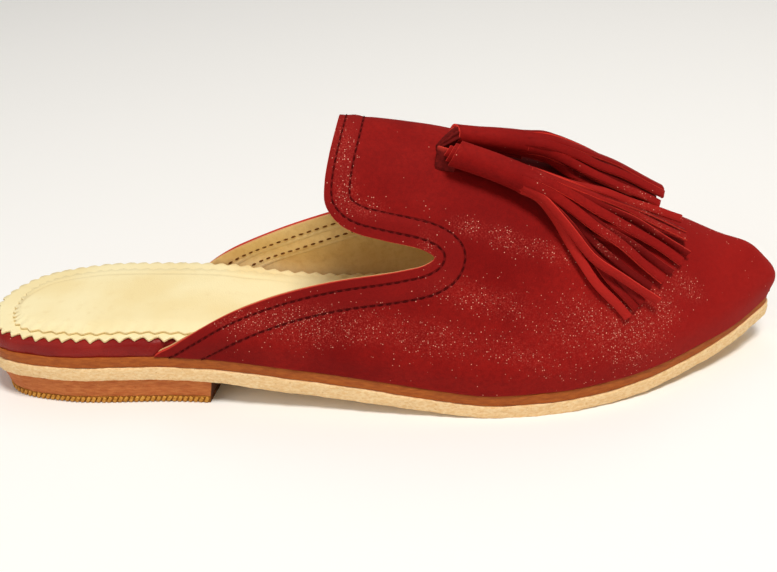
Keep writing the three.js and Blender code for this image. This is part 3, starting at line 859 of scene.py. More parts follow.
def path_mesh(name, lines, marks):
    """Open lines of points as one mesh of edges, with vectors or numbers on their points."""
    mesh = bpy.data.meshes.new(name)
    edges = []
    first = 0
    for line in lines:
        edges += [(first + i, first + i + 1) for i in range(len(line) - 1)]
        first += len(line)
    mesh.from_pydata(in_row(np.vstack(lines)).tolist(), edges, [])
    for mark, values in marks.items():
        values = np.concatenate([np.asarray(v, np.float32) for v in values])
        kind, field = ("FLOAT_VECTOR", "vector") if values.ndim == 2 else ("FLOAT", "value")
        mesh.attributes.new(mark, kind, "POINT").data.foreach_set(field, values.ravel())
    return mesh


def grow(name, tree, path, material, sizes, **turns):
    """Runs a tree on a path and keeps the result as a plain mesh. sizes are in millimetres,
    turns in radians."""
    values = {size: value / 1000 for size, value in sizes.items()}
    values.update(turns, Material=material)
    piece = link(path, name)
    modifier = piece.modifiers.new("grow", "NODES")
    modifier.node_group = tree
    for item in tree.interface.items_tree:
        if item.in_out == "INPUT" and item.name in values:
            modifier[item.identifier] = values[item.name]
    graph = bpy.context.evaluated_depsgraph_get()
    mesh = bpy.data.meshes.new_from_object(
        piece.evaluated_get(graph), preserve_all_data_layers=True, depsgraph=graph
    )
    piece.modifiers.remove(modifier)
    piece.data = mesh
    return piece


STITCH_TREE = line_tree("stitch_row", stitch_shape)
RIB_TREE = line_tree("rib_row", rib_shape)


# ------------------------------------------------------------------ upper and lining


def topline_rows(count):
    """x and angle along the topline, from the outer side's feather line up to the ridge and
    down the inner side, evenly spaced."""
    x, z = rounded(TOPLINE, 60).T
    share = (z - feather(x)) / (ridge_z(x) - feather(x))
    first = int(np.argmax(share > 0))
    last = int(np.argmax(share >= 1))
    places = np.arange(first, last, dtype=float)
    start = first - share[first] / (share[first] - share[first - 1])
    end = last - (share[last] - 1) / (share[last] - share[last - 1])
    places = np.concatenate([[start], places, [end]])
    x = np.interp(places, np.arange(len(x)), x)
    share = np.clip(np.interp(places, np.arange(len(share)), share), 0, 1)
    angle = np.arcsin(share ** (ridge_square(x) / 2))
    table = np.stack([x, angle], axis=1)
    half = spread_along(upper_point(x, angle), count, table)[1]
    mirrored = half[-2::-1] * [1, -1] + [0, math.pi]
    return np.vstack([half, mirrored])


def upper_grid():
    """Points and normals of the upper's face: a row for each place on the topline, each from
    there to the toe; x and angle of each point too."""
    rows = topline_rows(150)
    shoulder = TIP - NOSE - 2
    steady = lerp(rows[:, :1], shoulder, np.linspace(0, 1, 100)[None, :])
    turning = shoulder + (NOSE + 2) * np.sin(math.pi / 2 * np.linspace(0, 1, 24)[1:])
    x = np.hstack([steady, np.repeat(turning[None, :], len(rows), axis=0)])
    angle = np.repeat(rows[:, 1:], x.shape[1], axis=1)
    points = upper_point(x, angle)
    normal = unit(np.cross(np.gradient(points, axis=1), np.gradient(points, axis=0)))
    normal[:, -1] = (1, 0, 0)
    return points, normal, x, angle


def distances_from(line, points):
    """The nearest distance of each point from a finely divided line."""
    fine = spread_along(line, 3000)[0]
    tree = KDTree(len(fine))
    for i, point in enumerate(fine):
        tree.insert(point, i)
    tree.balance()
    flat = points.reshape(-1, 3)
    found = np.array([tree.find(point)[2] for point in flat])
    return found.reshape(points.shape[:-1])


def girths_of(x, angle):
    """Girth from the ridge of grid points."""
    rows = np.clip((x - GIRTH_X[0]) / GIRTH_STEP, 0, len(GIRTH_X) - 1.001)
    places = angle / math.pi * (len(GIRTH_ANGLES) - 1.001)
    i, j = rows.astype(int), places.astype(int)
    s, t = rows - i, places - j
    low = lerp(GIRTHS[i, j], GIRTHS[i, j + 1], t)
    high = lerp(GIRTHS[i + 1, j], GIRTHS[i + 1, j + 1], t)
    return lerp(low, high, s)


def upper_relief(x, girth, distance):
    """How far the leather stands off the last: folds, the padded seam band, slight waves."""
    rise = np.zeros_like(x)
    for place, around, length, width, turn, size in CREASES:
        cosine = math.cos(math.radians(turn))
        sine = math.sin(math.radians(turn))
        along = cosine * (x - place) + sine * (girth - around)
        across = -sine * (x - place) + cosine * (girth - around)
        rise += size * np.exp(-((along / length) ** 2) - (across / width) ** 2)
    middle = (SEAM_NEAR + SEAM_FAR) / 2
    rise += SEAM_PAD * np.exp(-(((distance - middle) / 2.3) ** 2))
    rise -= SEAM_DIP * np.exp(-(((distance - SEAM_FAR - 0.4) / 1.1) ** 2))
    waves = ripple(3, [(61, 0.10), (37, 0.08), (23, 0.05)])
    rise += waves(x + 0.4 * girth) + waves(girth - 0.3 * x)
    return rise * eased(TIP - x, 2, 25)


def shell(name, material, grid, rise, near, far, lip, distance, glitter_share=None):
    """A closed leather shell between two depths under the face, with a rounded cut edge."""
    points, normal = grid
    face = points + normal * (rise - near)[..., None]
    back = points + normal * (rise - far)[..., None]
    along = unit(np.gradient(points[:, 0], axis=0))
    off = unit(np.cross(along, normal[:, 0]))
    off *= np.sign(np.sum(off * (points[:, 0] - points[:, 3]), axis=1))[:, None]
    rim = []
    for out, share in ((0.6, 0.06), (1.0, 0.28), (1.0, 0.72), (0.6, 0.94)):
        depth = lerp(near, far, share)
        rim.append(points[:, 0] + normal[:, 0] * (rise[:, 0] - depth)[:, None] + off * (out * lip))
    rim = np.stack(rim, axis=1)
    rings = np.concatenate([rim[:, 1::-1], face, back[:, ::-1], rim[:, :1:-1]], axis=1)
    cut = np.full((len(rim), 2), -1.0)
    marks = {"edge_distance": np.concatenate([cut, distance, distance[:, ::-1], cut], axis=1)}
    if glitter_share is not None:
        none = np.zeros_like(cut)
        marks["glitter"] = np.concatenate([none, glitter_share, glitter_share[:, ::-1], none], axis=1)
    return loft(name, rings, material, marks)


def glitter_map(x, girth):
    share = np.zeros_like(x)
    for place, around, length, width, most in GLITTER:
        spot = np.exp(-(((x - place) / length) ** 2) - ((girth - around) / width) ** 2)
        share = np.maximum(share, GLITTER_STRENGTH * most * spot)
    return share


def drawn_in(distance, points):
    """Distances from the topline, read larger on the tongue, where the seams lie nearer to it."""
    share = eased(points[:, :1, 2], SEAM_DRAW_FROM, SEAM_DRAW_FULL)
    off_edge = np.clip(distance / SEAM_DRAW_EDGE, 0, 1)
    return (distance + SEAM_DRAW * share * off_edge) / (1 - SEAM_SQUEEZE * share * off_edge)


def seam_line(grid, rise, distance, reach, depth):
    """The line on the leather at one distance from the topline, with its normals."""
    _, _, x, angle = grid
    spots = []
    for row in range(len(x)):
        j = int(np.argmax(distance[row] > reach))
        if j == 0:
            continue
        t = (reach - distance[row, j - 1]) / (distance[row, j] - distance[row, j - 1])
        spots.append([lerp(part[row, j - 1], part[row, j], t) for part in (x, angle, rise)])
    places = np.linspace(0, len(spots) - 1, 3000)
    x, angle, lift = [np.interp(places, np.arange(len(spots)), part) for part in np.array(spots).T]
    normals = upper_normal(x, angle)
    line = upper_point(x, angle) + normals * (lift - depth)[:, None]
    return spread_along(line, 900, normals)


def sew(name, lines, material, sizes, side=1):
    """Rows of stitches along lines of points with normals. side is -1 on the inner face."""
    paths = [line for line, _ in lines]
    normals = [unit(normal) * side for _, normal in lines]
    path = path_mesh(name, paths, {"surface_normal": normals})
    stitches = grow(name, STITCH_TREE, path, material, sizes, Scatter=STITCH_SCATTER)
    finish_piece(stitches, "thread")


def make_upper():
    grid = upper_grid()
    points, normal, x, angle = grid
    distance = drawn_in(distances_from(points[:, 0], points), points)
    girth = girths_of(x, angle)
    rise = upper_relief(x, girth, distance)
    leather = shell(
        "upper_leather", NUBUCK, (points, normal), rise, 0.0, LEATHER, 0.22, distance, glitter_map(x, girth)
    )
    finish_piece(leather, "upper_nubuck", "upper")
    keep = np.r_[0:40, 40:points.shape[1] - 1:4, points.shape[1] - 1]
    lining = shell(
        "upper_lining", LINING_HIDE, (points[:, keep], normal[:, keep]), rise[:, keep],
        LEATHER + LINING_GAP, LEATHER + LINING_GAP + LINING, 0.26, distance[:, keep],
    )
    finish_piece(lining, "lining")
    outside = [seam_line(grid, rise, distance, seam, -0.04) for seam in (SEAM_NEAR, SEAM_FAR)]
    sew("upper_stitches", outside, RED_THREAD, STITCH)
    inside = [seam_line(grid, rise, distance, seam, LEATHER + LINING + 0.06) for seam in LINING_SEAMS]
    sew("lining_stitches", inside, BROWN_THREAD, LINING_STITCH, side=-1)


# ------------------------------------------------------------------ sole


def stations(count, until=None, inset=0.0):
    """Matching places along the two sides of the sole, from the heel's back to the toe or to
    until: points, outward directions and distance travelled for each side."""
    found = []
    for points, outward in sides(inset):
        if until is not None:
            x = np.maximum.accumulate(points[:, 0])
            place = np.interp(until, x + np.arange(len(x)) * 1e-9, np.arange(len(x)))
            keep = np.append(np.arange(int(place) + 1), place)
            points = np.stack([np.interp(keep, np.arange(len(x)), points[:, k]) for k in (0, 1)], 1)
            outward = np.stack([np.interp(keep, np.arange(len(x)), outward[:, k]) for k in (0, 1)], 1)
        line, away = spread_along(points, count, outward)
        found.append((line, unit(away), travel(line)))
    return found


def plate(
    name, material, places, profile, bottom, top,
    inset=None, wobble=None, bend=None, marks=None, across=14, core=None,
):
    """A flat piece under or over the foot, in rings from the heel's back to the toe. profile
    goes up its edge: how far out, how high as a share. inset and wobble change the edge's
    reach, and bend moves the finished rings. With core, the middle keeps a plain outline that
    far inside an edge with teeth."""
    edges = []
    plain = []
    for side, (line, outward, far) in enumerate(places):
        rise = []
        for out, share in profile:
            reach = out - (inset(line[:, 0]) if inset else 0.0)
            if wobble:
                reach = reach + wobble(far * (1 if side else -1), share)
            spot = line + outward * np.reshape(reach, (-1, 1))
            low, high = bottom(spot[:, 0]), top(spot[:, 0])
            rise.append(np.column_stack([spot, lerp(low, high, share)]))
        edges.append(np.stack(rise, axis=1))
        if core:
            spot = line - outward * np.reshape(inset(line[:, 0]) + core, (-1, 1))
            plain.append(np.column_stack([spot, np.zeros(len(spot))])[:, None])
    outer, inner = edges
    t = (np.arange(across + 1) / across)[None, :, None]
    if core:
        upper = lerp(*plain, t)
        lower = lerp(*plain[::-1], t)
    else:
        upper = lerp(outer[:, -1:], inner[:, -1:], t[:, 1:-1])
        lower = lerp(inner[:, :1], outer[:, :1], t[:, 1:-1])
    upper[..., 2] = top(upper[..., 0])
    lower[..., 2] = bottom(lower[..., 0])
    rings = np.concatenate([outer, upper, inner[:, ::-1], lower], axis=1)
    if bend:
        rings = bend(rings)
    return loft(name, rings, material, marks(rings) if marks else None)


def soft_edge(height, corner, steps=3):
    """A profile up a cut edge with slightly broken corners, as (out, share) pairs."""
    share = corner / height
    return [(-corner, 0.0), (-corner * 0.3, share * 0.3), (0.0, share)] + [
        (0.0, share + (1 - 2 * share) * k / steps) for k in range(1, steps)
    ] + [(0.0, 1 - share), (-corner * 0.3, 1 - share * 0.3), (-corner, 1.0)]


# How much lower than plain the outsole's underside hangs, over x.
SAG = column(
    [(-5, 0.45), (60, 0.45), (80, 0.6), (100, 1.0), (125, 0.7), (150, 0.2), (165, 0), (275, 0)], 1
)


def outsole_bottom(x):
    """The outsole's face towards the floor, fuller than plain at the heel and waist."""
    return underside(x) - SAG(x)


def make_outsole():
    rough = ripple(5, [(31, 0.10), (13, 0.08), (6.1, 0.07), (2.7, 0.05), (1.3, 0.03)])
    wavy = ripple(6, [(17, 0.07), (7, 0.06), (3.1, 0.05)])

    def ragged(rings):
        """Lets the upper corner of the edge wander a little up and down."""
        far = travel(rings[:, 4])
        rings[:, 6:9, 2] += (wavy(far) * 0.9)[:, None] - 0.05
        return rings

    piece = plate(
        "outsole_leather", OUTSOLE_HIDE, stations(420), soft_edge(OUTSOLE, 0.35), outsole_bottom,
        lambda x: outsole_top(x) + GLUE_FILL, bend=ragged,
        wobble=lambda far, share: rough(far, share * 3) - 0.1,
    )
    finish_piece(piece, "outsole_leather", "outsole")


def make_midsole():
    smooth = ripple(8, [(41, 0.08), (17, 0.05), (5.2, 0.03)])
    piece = plate(
        "midsole_leather", MIDSOLE_HIDE, stations(360, inset=MIDSOLE_INSET), soft_edge(MIDSOLE, 0.3),
        lambda x: outsole_top(x) + GLUE_LINE - GLUE_FILL, lambda x: midsole_top(x) + GLUE_FILL,
        wobble=lambda far, share: smooth(far, share * 2) - 0.05,
    )
    finish_piece(piece, "midsole_leather", "midsole")


def heel_rake(rings):
    """Moves the heel's back forward and its breast back towards the floor, and skews the
    breast."""
    down = 1 - rings[..., 2] / underside(0)
    share = np.clip(rings[..., 0] / HEEL_BREAST, 0, 1)
    inwards = np.clip(0.5 + rings[..., 1] / HEEL_WIDTH, 0, 1)
    moved = HEEL_BACK_RAKE * down * (1 - share) ** 2 - HEEL_RAKE * down * share ** 6
    rings[..., 0] += moved + HEEL_SKEW * inwards * share
    return rings


def heel_inset(z):
    """How far the heel's sides stand inside the sole's edge at a height."""
    return lerp(HEEL_INSET_FOOT, HEEL_INSET_TOP, z / underside(0))


def breast_shade_mark(rings):
    """Marks the last ring, the heel's front, where painted shade darkens it."""
    mark = np.zeros(rings.shape[:2])
    mark[-1] = 1.0
    return {"breast": mark}


def heel_piece(name, slot, node, material, low, high, seed, corner):
    """One layer of the heel between two heights, with corners broken by corner."""
    height = high - low
    uneven = ripple(seed, [(37, 0.10), (11, 0.07), (4.3, 0.05)])
    profile = [(out - heel_inset(low + share * height), share) for out, share in soft_edge(height, corner, 5)]
    piece = plate(
        name, material, stations(260, HEEL_BREAST), profile,
        lambda x: np.full_like(x, low), lambda x: np.full_like(x, high),
        wobble=lambda far, share: uneven(far, share * 2) - 0.06, bend=heel_rake, marks=breast_shade_mark,
    )
    finish_piece(piece, slot, node)


def make_heel():
    top = float(outsole_bottom(0)) + 0.02
    heel_piece("heel_stack", "heel_leather", "heel_block", HEEL_HIDE, TOPLIFT - 0.04, top, 12, 0.2)
    heel_piece("heel_toplift", "toplift_leather", "toplift", TOPLIFT_HIDE, 0.0, TOPLIFT, 14, 0.3)
    make_ribs()


def make_ribs():
    """The toplift's ribs, on a line round it at half its height."""
    (outer, outward, _), (inner, inward, _) = stations(200, HEEL_BREAST - 1.5)
    line = np.vstack([outer[::-1], inner[1:]])
    away = np.vstack([outward[::-1], inward[1:]])
    height = TOPLIFT / 2
    spots = np.column_stack([line - away * heel_inset(height), np.full(len(line), height)])
    flat = np.column_stack([away, np.zeros(len(away))])
    spots, flat = spread_along(heel_rake(spots), 500, flat)
    path = path_mesh("toplift_ribs", [spots], {"surface_normal": [unit(flat)]})
    ribs = grow("toplift_ribs", RIB_TREE, path, RIB_HIDE, RIB, Lean=-0.55, Scatter=0.16)
    finish_piece(ribs, "toplift_leather")


def footbed_inset(x):
    return lerp(RAND_INSET, LINED_INSET, eased(x, UPPER_START - 3, UPPER_START + 4))


def make_footbed():
    """The footbed with its red cover drawn round the edge."""
    profile = [(0.0, 0.0), (0.12, 0.18), (0.16, 0.36)]
    for bend in np.linspace(0, math.pi / 2, 7):
        under_top = RAND_ROUND - RAND_ROUND * math.sin(bend)
        profile.append((-RAND_ROUND * (1 - math.cos(bend)), 1 - under_top / RAND_HEEL))
    piece = plate(
        "footbed_rand", RAND_RED, stations(360), profile,
        lambda x: feather(x) - GLUE_LINE + GLUE_FILL, footbed_top,
        inset=footbed_inset, wobble=ripple(21, [(29, 0.12), (12, 0.08), (5, 0.04)]),
    )
    finish_piece(piece, "rand_leather", "footbed")


def shoulder_drop(inside):
    """How far the rand's rounded shoulder lies under its top, at a distance inside its edge."""
    gap = np.clip(RAND_ROUND - inside, 0, RAND_ROUND)
    return RAND_ROUND - np.sqrt(np.maximum(RAND_ROUND ** 2 - gap ** 2, 0))


def tooth(far, pitch, shift=0.0):
    """A pinked wave from -1 to 1, between a zigzag and a cosine."""
    place = (far / pitch + shift) % 1.0
    zigzag = 2 * np.abs(2 * place - 1) - 1
    return 0.55 * zigzag + 0.45 * np.cos(2 * math.pi * place)


def pad_inset(y):
    """From the sole's edge to the pad's, a little more on the inner side."""
    return PAD_INSET + 2.6 * np.tanh(y / 12)


def edge_gap(rings):
    """How far inside the sole's outline each point lies."""
    outline = np.vstack([line for line, _ in sides(0)])[::2]
    flat = rings[..., :2].reshape(-1, 2)
    parts = [
        np.sqrt(((part[:, None, :] - outline[None]) ** 2).sum(axis=2).min(axis=1))
        for part in np.array_split(flat, len(flat) // 4000 + 1)
    ]
    return np.concatenate(parts).reshape(rings.shape[:2])


# How far the upper leaf's edge stands back, over the distance from the heel's back, which is
# negative on the outer side.
LEAF_SETBACK = column([(-58, 0), (-36, 0.2), (-16, 4.2), (0, 5.0), (24, 4.6), (90, 4.0), (150, 0)], 1)


def sock_leaf(name, lift, base, size, shift, padded):
    """One leaf of the sock: its edge is pinked, and droops over the rand's shoulder. lift is
    its height over the footbed, base its inset and size that of its teeth."""
    uneven = ripple(31 + int(lift * 10), [(23, 0.16), (9, 0.10)])

    def inset(x):
        return base + max(LINED_INSET + 0.8 - base, 0) * eased(x, UPPER_START + 2, UPPER_START + 30)

    def reach(far, _):
        return size * tooth(far, PINKING, shift) + uneven(far) - padded * LEAF_SETBACK(far)

    def bottom(x):
        return footbed_top(x) + lift

    def top(x):
        return bottom(x) + SOCK_LEAF

    def drape(rings):
        """Bends the edge over the shoulder, presses the pad up from below and sinks a soft fold in front of
        it.
        """
        gap = edge_gap(rings)
        rings[..., 2] -= shoulder_drop(gap - RAND_INSET) * 0.92
        if padded:
            x = rings[..., 0]
            above = rings[..., 2] > bottom(x) + SOCK_LEAF / 2 - 0.2
            edge = pad_inset(rings[..., 1])
            pad = PAD_RISE * eased(gap, edge - 0.8, edge + 0.8) * (1 - eased(x, 84, 110))
            arch = ARCH_RISE * np.exp(-(((x - 84 - 0.012 * rings[..., 1] ** 2) / 6.5) ** 2))
            rings[..., 2] += above * (pad - arch * eased(gap, 6, 14))
        return rings

    profile = [(-0.25, 0.0), (0.0, 0.2), (0.05, 0.5), (0.0, 0.8), (-0.25, 1.0)]
    across = 44

    def edge_shade_marks(rings):
        # painted shade marks: the leaves' cut edges, and a line along the heel pad's edge
        mark = np.zeros(rings.shape[:2])
        far_side = len(profile) + across + 1
        mark[:, 1:4] = 1.0
        mark[:, far_side + 1:far_side + 4] = 1.0
        gap = edge_gap(rings)
        away = (gap - pad_inset(rings[..., 1])) / 0.9
        x = rings[..., 0]
        line = np.exp(-away ** 2) * (1 - 0.75 * eased(x, 8, 34)) * (1 - eased(x, 60, 100))
        return {"leaf_edge": mark, "pad_line": line * padded}

    return plate(
        name, SOCK_HIDE, stations(640), profile, bottom, top,
        inset=inset, wobble=reach, bend=drape, marks=edge_shade_marks,
        across=across, core=size + 0.9 + 5.2 * padded,
    )


def make_sock():
    lower = sock_leaf("sock_lower_leaf", 0.08, 2.5, 0.9, 0.0, False)
    finish_piece(lower, "sock_leather")
    upper = sock_leaf("sock_upper_leaf", 0.08 + SOCK_LEAF + 0.04, 4.9, 0.6, 0.3, True)
    finish_piece(upper, "sock_leather", "insole")


# ------------------------------------------------------------------ tassels


def resampled(rows, places):
    """Rows of a table at places from 0 to 1 through it, each column smoothed."""
    numbered = [(i, *row) for i, row in enumerate(rows)]
    return [column(numbered, k + 1)(places * (len(rows) - 1)) for k in range(len(rows[0]))]


def roll_frames(rows, places):
    """Centre, forward, up and side directions, and radius along a rolled head."""
    x, girth, radius, lift = resampled(rows, places)
    centre, up = over_vamp(x, girth, radius + lift)
    forward = unit(np.gradient(centre, places, axis=0))
    side = unit(np.cross(forward, up))
    up = np.cross(side, forward)
    return centre, forward, up, side, radius


def make_roll(name, node, rows, start, pull, slant, slant_side):
    """A strip of leather rolled up tight: a spiral section drawn along the head. At the back
    its end is cut back by slant on one side, and each turn is pulled out of the next one."""
    places = np.concatenate([[0, 0.008], np.linspace(0.03, 0.97, 32), [0.992, 1]])
    centre, forward, up, side, radius = roll_frames(rows, places)
    around = int(44 * ROLL_TURNS)
    wind = np.linspace(0, ROLL_TURNS * 2 * math.pi, around)
    dents = 0.12 * np.sin(3 * wind + 0.8) + 0.08 * np.sin(5 * wind + 2.1)
    rings = []
    marks = []
    for k, place in enumerate(places):
        outer = radius[k] + dents * (0.4 + 0.6 * place) - ROLL_PITCH / (2 * math.pi) * wind
        inner = outer - STRIP_THICKNESS
        fade = float(np.clip(1 - place / 0.25, 0, 1))
        cut_back = slant * fade * np.cos(wind + start - math.radians(slant_side))
        drift = pull * fade * wind / (2 * math.pi)
        ring = []
        for distance, order in ((outer, slice(None)), (inner, slice(None, None, -1))):
            turn = (wind + start)[:, None]
            spots = centre[k] + (up[k] * np.cos(turn) + side[k] * np.sin(turn)) * distance[:, None]
            ring.append((spots + forward[k] * (cut_back * distance + drift)[:, None])[order])
        rings.append(np.vstack(ring))
        marks.append(np.full(2 * around, 1.0 if place < 0.005 or place > 0.995 else 0.0))
    piece = loft(name, rings, FRINGE_NUBUCK, {"cut_edge": np.array(marks)})
    finish_piece(piece, "tassel_suede", node)


def fringe_tree():
    """A tree that draws a leather strip along each path, its flat side facing strip_normal."""
    tree, given = start_tree("fringe", ("Width", "Thickness", "Corner"))
    facing = stored(tree, "strip_normal", "FLOAT_VECTOR")
    curve = step(tree, "GeometryNodeMeshToCurve", {"Mesh": given["Path"]})
    framed = step(tree, "GeometryNodeSetCurveNormal", {"Curve": curve, "Normal": facing}, mode="FREE")
    feeds = {0: given["Thickness"], 1: given["Width"]}
    section = step(tree, "GeometryNodeCurvePrimitiveQuadrilateral", feeds, mode="RECTANGLE")
    feeds = {"Curve": section, "Radius": given["Corner"], "Count": 1}
    section = step(tree, "GeometryNodeFilletCurve", feeds, mode="POLY")
    share = stored(tree, "width_share")
    feeds = {"Curve": framed, "Profile Curve": section, "Scale": share, "Fill Caps": True}
    strip = step(tree, "GeometryNodeCurveToMesh", feeds)
    face_normal = step(tree, "GeometryNodeInputNormal")
    product = add_node(tree, "ShaderNodeVectorMath", {0: face_normal, 1: facing}, operation="DOT_PRODUCT")
    flatness = step(tree, "ShaderNodeMath", {0: product.outputs["Value"]}, operation="ABSOLUTE")
    cut = step(tree, "ShaderNodeMath", {0: flatness, 1: 0.6}, operation="LESS_THAN")
    feeds = {"Geometry": strip, "Name": "cut_edge", "Value": cut}
    marked = step(tree, "GeometryNodeStoreNamedAttribute", feeds, data_type="FLOAT", domain="FACE")
    return end_tree(tree, marked, given["Material"])


def strip_path(row, roll, roll_start, seed):
    """The centre line of one fringe strip, out of the roll, over its half-way place and down to
    its tip, and at each point its normal, width share and painted shade, below 0 painted light."""
    # dark is the strip's painted shade, below 0 painted light
    angle, layer, mid_x, mid_girth, mid_height, tip_x, tip_girth, tip_height, turn, width, dark = row
    centre, forward, up, side, radius = [part[-1] for part in roll]
    around = math.radians(angle)
    radial = up * math.cos(around) + side * math.sin(around)
    wind = (around - roll_start) % (2 * math.pi) + 2 * math.pi * layer
    reach = radius - ROLL_PITCH * wind / (2 * math.pi) - STRIP_THICKNESS * width / 2
    start = centre + radial * (reach + 0.06)
    spots, normals = over_vamp([mid_x, tip_x], [mid_girth, tip_girth], [mid_height, tip_height])
    proud = radial * 0.35 * (seed % 2)
    root = start - forward * 2.5 - radial * 0.4
    lead = start + forward * 6 + radial * 0.3 + proud
    line = rounded([root, start, lead, spots[0], spots[1]], 12)
    line = spread_along(line, 40)[0]
    ahead = unit(np.gradient(line, axis=0))
    place = np.linspace(0, 1, len(line))
    turned = np.array(Matrix.Rotation(math.radians(turn), 3, Vector(ahead[-1])) @ Vector(normals[1]))
    facing = lerp(radial[None, :], turned[None, :], eased(place, 0.12, 0.7)[:, None])
    facing = unit(facing - ahead * np.sum(facing * ahead, axis=1, keepdims=True))
    sway = ripple(seed, [(31, 0.28), (17, 0.16)])(place * 50) * eased(place, 0.2, 0.6)
    line = line + np.cross(ahead, facing) * sway[:, None]
    return line, facing, np.full(len(line), float(width)), np.full(len(line), float(dark))


FRINGE_TREE = fringe_tree()


def make_fringe(name, rows, roll_rows, roll_start):
    roll = roll_frames(roll_rows, ROLL_PLACES)
    strips = [strip_path(row, roll, roll_start, 60 + k) for k, row in enumerate(rows)]
    lines, normals, widths, painted_shades = zip(*strips)
    path = path_mesh(name, lines, {"strip_normal": normals, "width_share": widths, "strip_shade": painted_shades})
    sizes = {"Width": STRIP_WIDTH, "Thickness": STRIP_THICKNESS, "Corner": STRIP_CORNER}
    finish_piece(grow(name, FRINGE_TREE, path, FRINGE_NUBUCK, sizes), "tassel_suede")


def make_strap():
    """The strap on edge between its slit in the vamp and the outer head: its broad side faces
    outwards and its top edge bends over into the roll."""
    share = np.linspace(0, 1, 26)
    x = 155.4 + 5.2 * share
    climb = np.sin(np.clip(share * 3.0, 0, 1) * math.pi / 2)
    top, _ = over_vamp(x, -12.9 - 1.3 * climb, 3.3 + 1.7 * climb - 0.7 * share)
    foot, normal = over_vamp(x, np.full(len(x), -18.4), np.full(len(x), -0.35))
    ahead = unit(np.gradient((top + foot) / 2, axis=0))
    width = unit(top - foot)
    facing = unit(np.cross(ahead, width))
    facing *= np.sign(np.sum(facing * normal, axis=1))[:, None]
    levels = np.linspace(0, 1, 7)
    rings = []
    for k in range(len(share)):
        crease = 0.5 * np.sin(math.pi * levels) + 0.22 * np.sin(9 * levels + 5 * share[k])
        middle = lerp(foot[k], top[k], levels[:, None]) + facing[k] * crease[:, None]
        front = middle + facing[k] * STRAP_HALF
        back = middle[::-1] - facing[k] * STRAP_HALF
        rings.append(np.vstack([front, top[k:k + 1] + width[k] * 0.3, back]))
    marks = np.tile([0] * 6 + [0.5, 1.0, 0.5] + [0] * 6, (len(share), 1))
    piece = loft("tassel_strap_loop", rings, SHADED_STRAP_SUEDE, {"cut_edge": marks})
    finish_piece(piece, "tassel_suede", "tassel_strap")


def make_strap_fold():
    """The strap's other end, gathered into pleats where it turns from the slit into the inner
    head."""
    spots, _ = over_vamp([155.1, 157.0], [-10.9, -10.2], [0.2, 2.2])
    frames = roll_frames(INNER_ROLL, ROLL_PLACES)
    centre, forward, up, side, _ = [part[0] for part in frames]
    path = rounded([spots[0], spots[1], centre + forward * 0.8, centre + forward * 3.0], 8)
    place = np.linspace(0, 1, len(path))
    radius = column([(0, 0.9), (0.3, 1.9), (0.62, 2.8), (1, 2.3)], 1)(place)
    turn = np.linspace(0, 2 * math.pi, 56, endpoint=False)
    rings = []
    for k in range(len(path)):
        pleats = (0.13 - 0.05 * place[k]) * np.cos(9 * turn + 2.5 * place[k])
        reach = (radius[k] * (1 + pleats + 0.05 * np.cos(4 * turn + 1)))[:, None]
        rings.append(path[k] + (up * np.cos(turn)[:, None] + side * np.sin(turn)[:, None]) * reach)
    finish_piece(loft("tassel_strap_fold", rings, SHADED_STRAP_SUEDE), "tassel_suede")


def make_tassels():
    make_roll("outer_tassel_head", "tassel_outer", OUTER_ROLL, ROLL_START["outer"], -1.3, -0.16, 115)
    make_roll("inner_tassel_head", "tassel_inner", INNER_ROLL, ROLL_START["inner"], -0.2, 0.35, 60)
    make_fringe("outer_tassel_fringe", OUTER_FRINGE, OUTER_ROLL, ROLL_START["outer"])
    make_fringe("inner_tassel_fringe", INNER_FRINGE, INNER_ROLL, ROLL_START["inner"])
    make_strap()
    make_strap_fold()


# ------------------------------------------------------------------ studio


CAMERA_AZIMUTH = math.radians(4.24)
CAMERA_ELEVATION = math.radians(27.95)
CAMERA_ROLL = math.radians(-3.41)
CAMERA_TARGET = (144.75, 0.0, 25.59)
CAMERA_DISTANCE = 0.38866
CAMERA_LENS = 53.77
CAMERA_SHIFT = -0.0307
FLOOR_HALF = 3.0


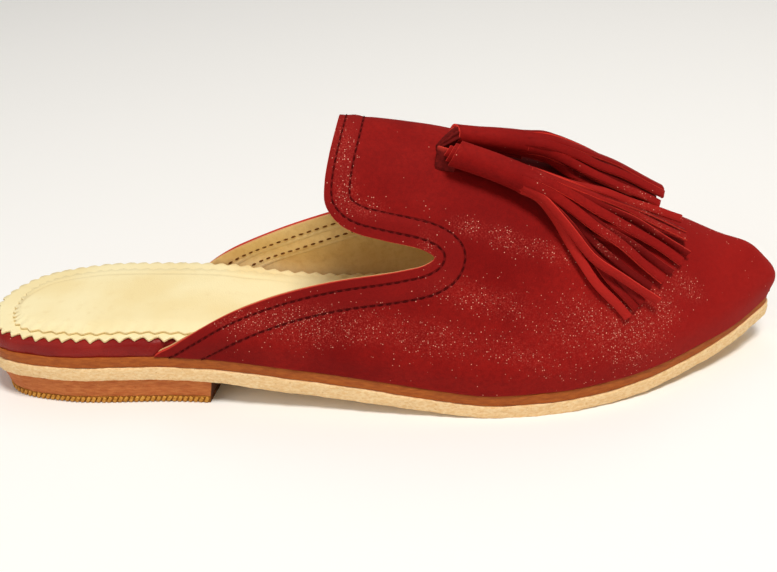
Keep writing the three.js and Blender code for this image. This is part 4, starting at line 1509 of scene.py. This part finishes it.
def make_camera():
    """Looks at the outer side from a little above, close enough for the lens to draw it large."""
    azimuth, elevation, roll = CAMERA_AZIMUTH, CAMERA_ELEVATION, CAMERA_ROLL
    flat = math.cos(elevation)
    back = Vector((math.sin(azimuth) * flat, -math.cos(azimuth) * flat, math.sin(elevation)))
    right = Vector((math.cos(azimuth), math.sin(azimuth), 0))
    up = back.cross(right)
    tilted_right = right * math.cos(roll) + up * math.sin(roll)
    tilted_up = up * math.cos(roll) - right * math.sin(roll)
    camera = bpy.data.objects.new("camera", bpy.data.cameras.new("camera"))
    camera.data.lens = CAMERA_LENS
    camera.data.sensor_width = 36
    camera.data.shift_x = CAMERA_SHIFT
    camera.data.clip_start = 0.01
    pose = Matrix((tilted_right, tilted_up, back)).transposed().to_4x4()
    pose.translation = Vector(in_row(CAMERA_TARGET)) + back * CAMERA_DISTANCE
    camera.matrix_world = pose
    bpy.context.scene.collection.objects.link(camera)
    bpy.context.scene.camera = camera


def make_floor():
    finish = Finish("studio_floor", Roughness=0.9, Specular_IOR_Level=0.1)
    mottle = finish.noise(400, 1.0)
    finish.colour(finish.blend(mottle, tone(250, 249, 247), tone(252, 252, 250)))
    mesh = bpy.data.meshes.new("floor")
    corner_signs = ((-1, -1), (1, -1), (1, 1), (-1, 1))
    spots = [(x * FLOOR_HALF, y * FLOOR_HALF, 0) for x, y in corner_signs]
    mesh.from_pydata(spots, [], [(0, 1, 2, 3)])
    mesh.materials.append(finish.material)
    link(mesh, "floor")


def soft_light(name, place, size, power, colour=(1, 1, 1)):
    lamp = bpy.data.lights.new(name, "AREA")
    lamp.shape = "DISK"
    lamp.size = size
    lamp.energy = power
    lamp.color = colour
    light = bpy.data.objects.new(name, lamp)
    light.location = place
    light.rotation_euler = (-Vector(place)).to_track_quat("-Z", "Y").to_euler()
    bpy.context.scene.collection.objects.link(light)


def make_lights():
    world = bpy.data.worlds.new("studio")
    world.use_nodes = True
    backdrop = world.node_tree.nodes["Background"]
    backdrop.inputs["Color"].default_value = (1.0, 0.985, 0.965, 1.0)
    backdrop.inputs["Strength"].default_value = 0.28
    bpy.context.scene.world = world
    soft_light("key", (0.28, -0.42, 1.28), 0.40, 13.5, (1.0, 0.96, 0.90))
    soft_light("fill", (-0.9, -0.7, 0.7), 1.0, 2.6)
    soft_light("top", (0.1, 0.7, 1.2), 0.8, 1.6)
    bpy.context.scene.view_settings.view_transform = "Standard"


# ------------------------------------------------------------------ the slipper


def main():
    make_camera()
    make_floor()
    make_lights()
    make_outsole()
    make_midsole()
    make_heel()
    make_footbed()
    make_sock()
    make_upper()
    make_tassels()


main()
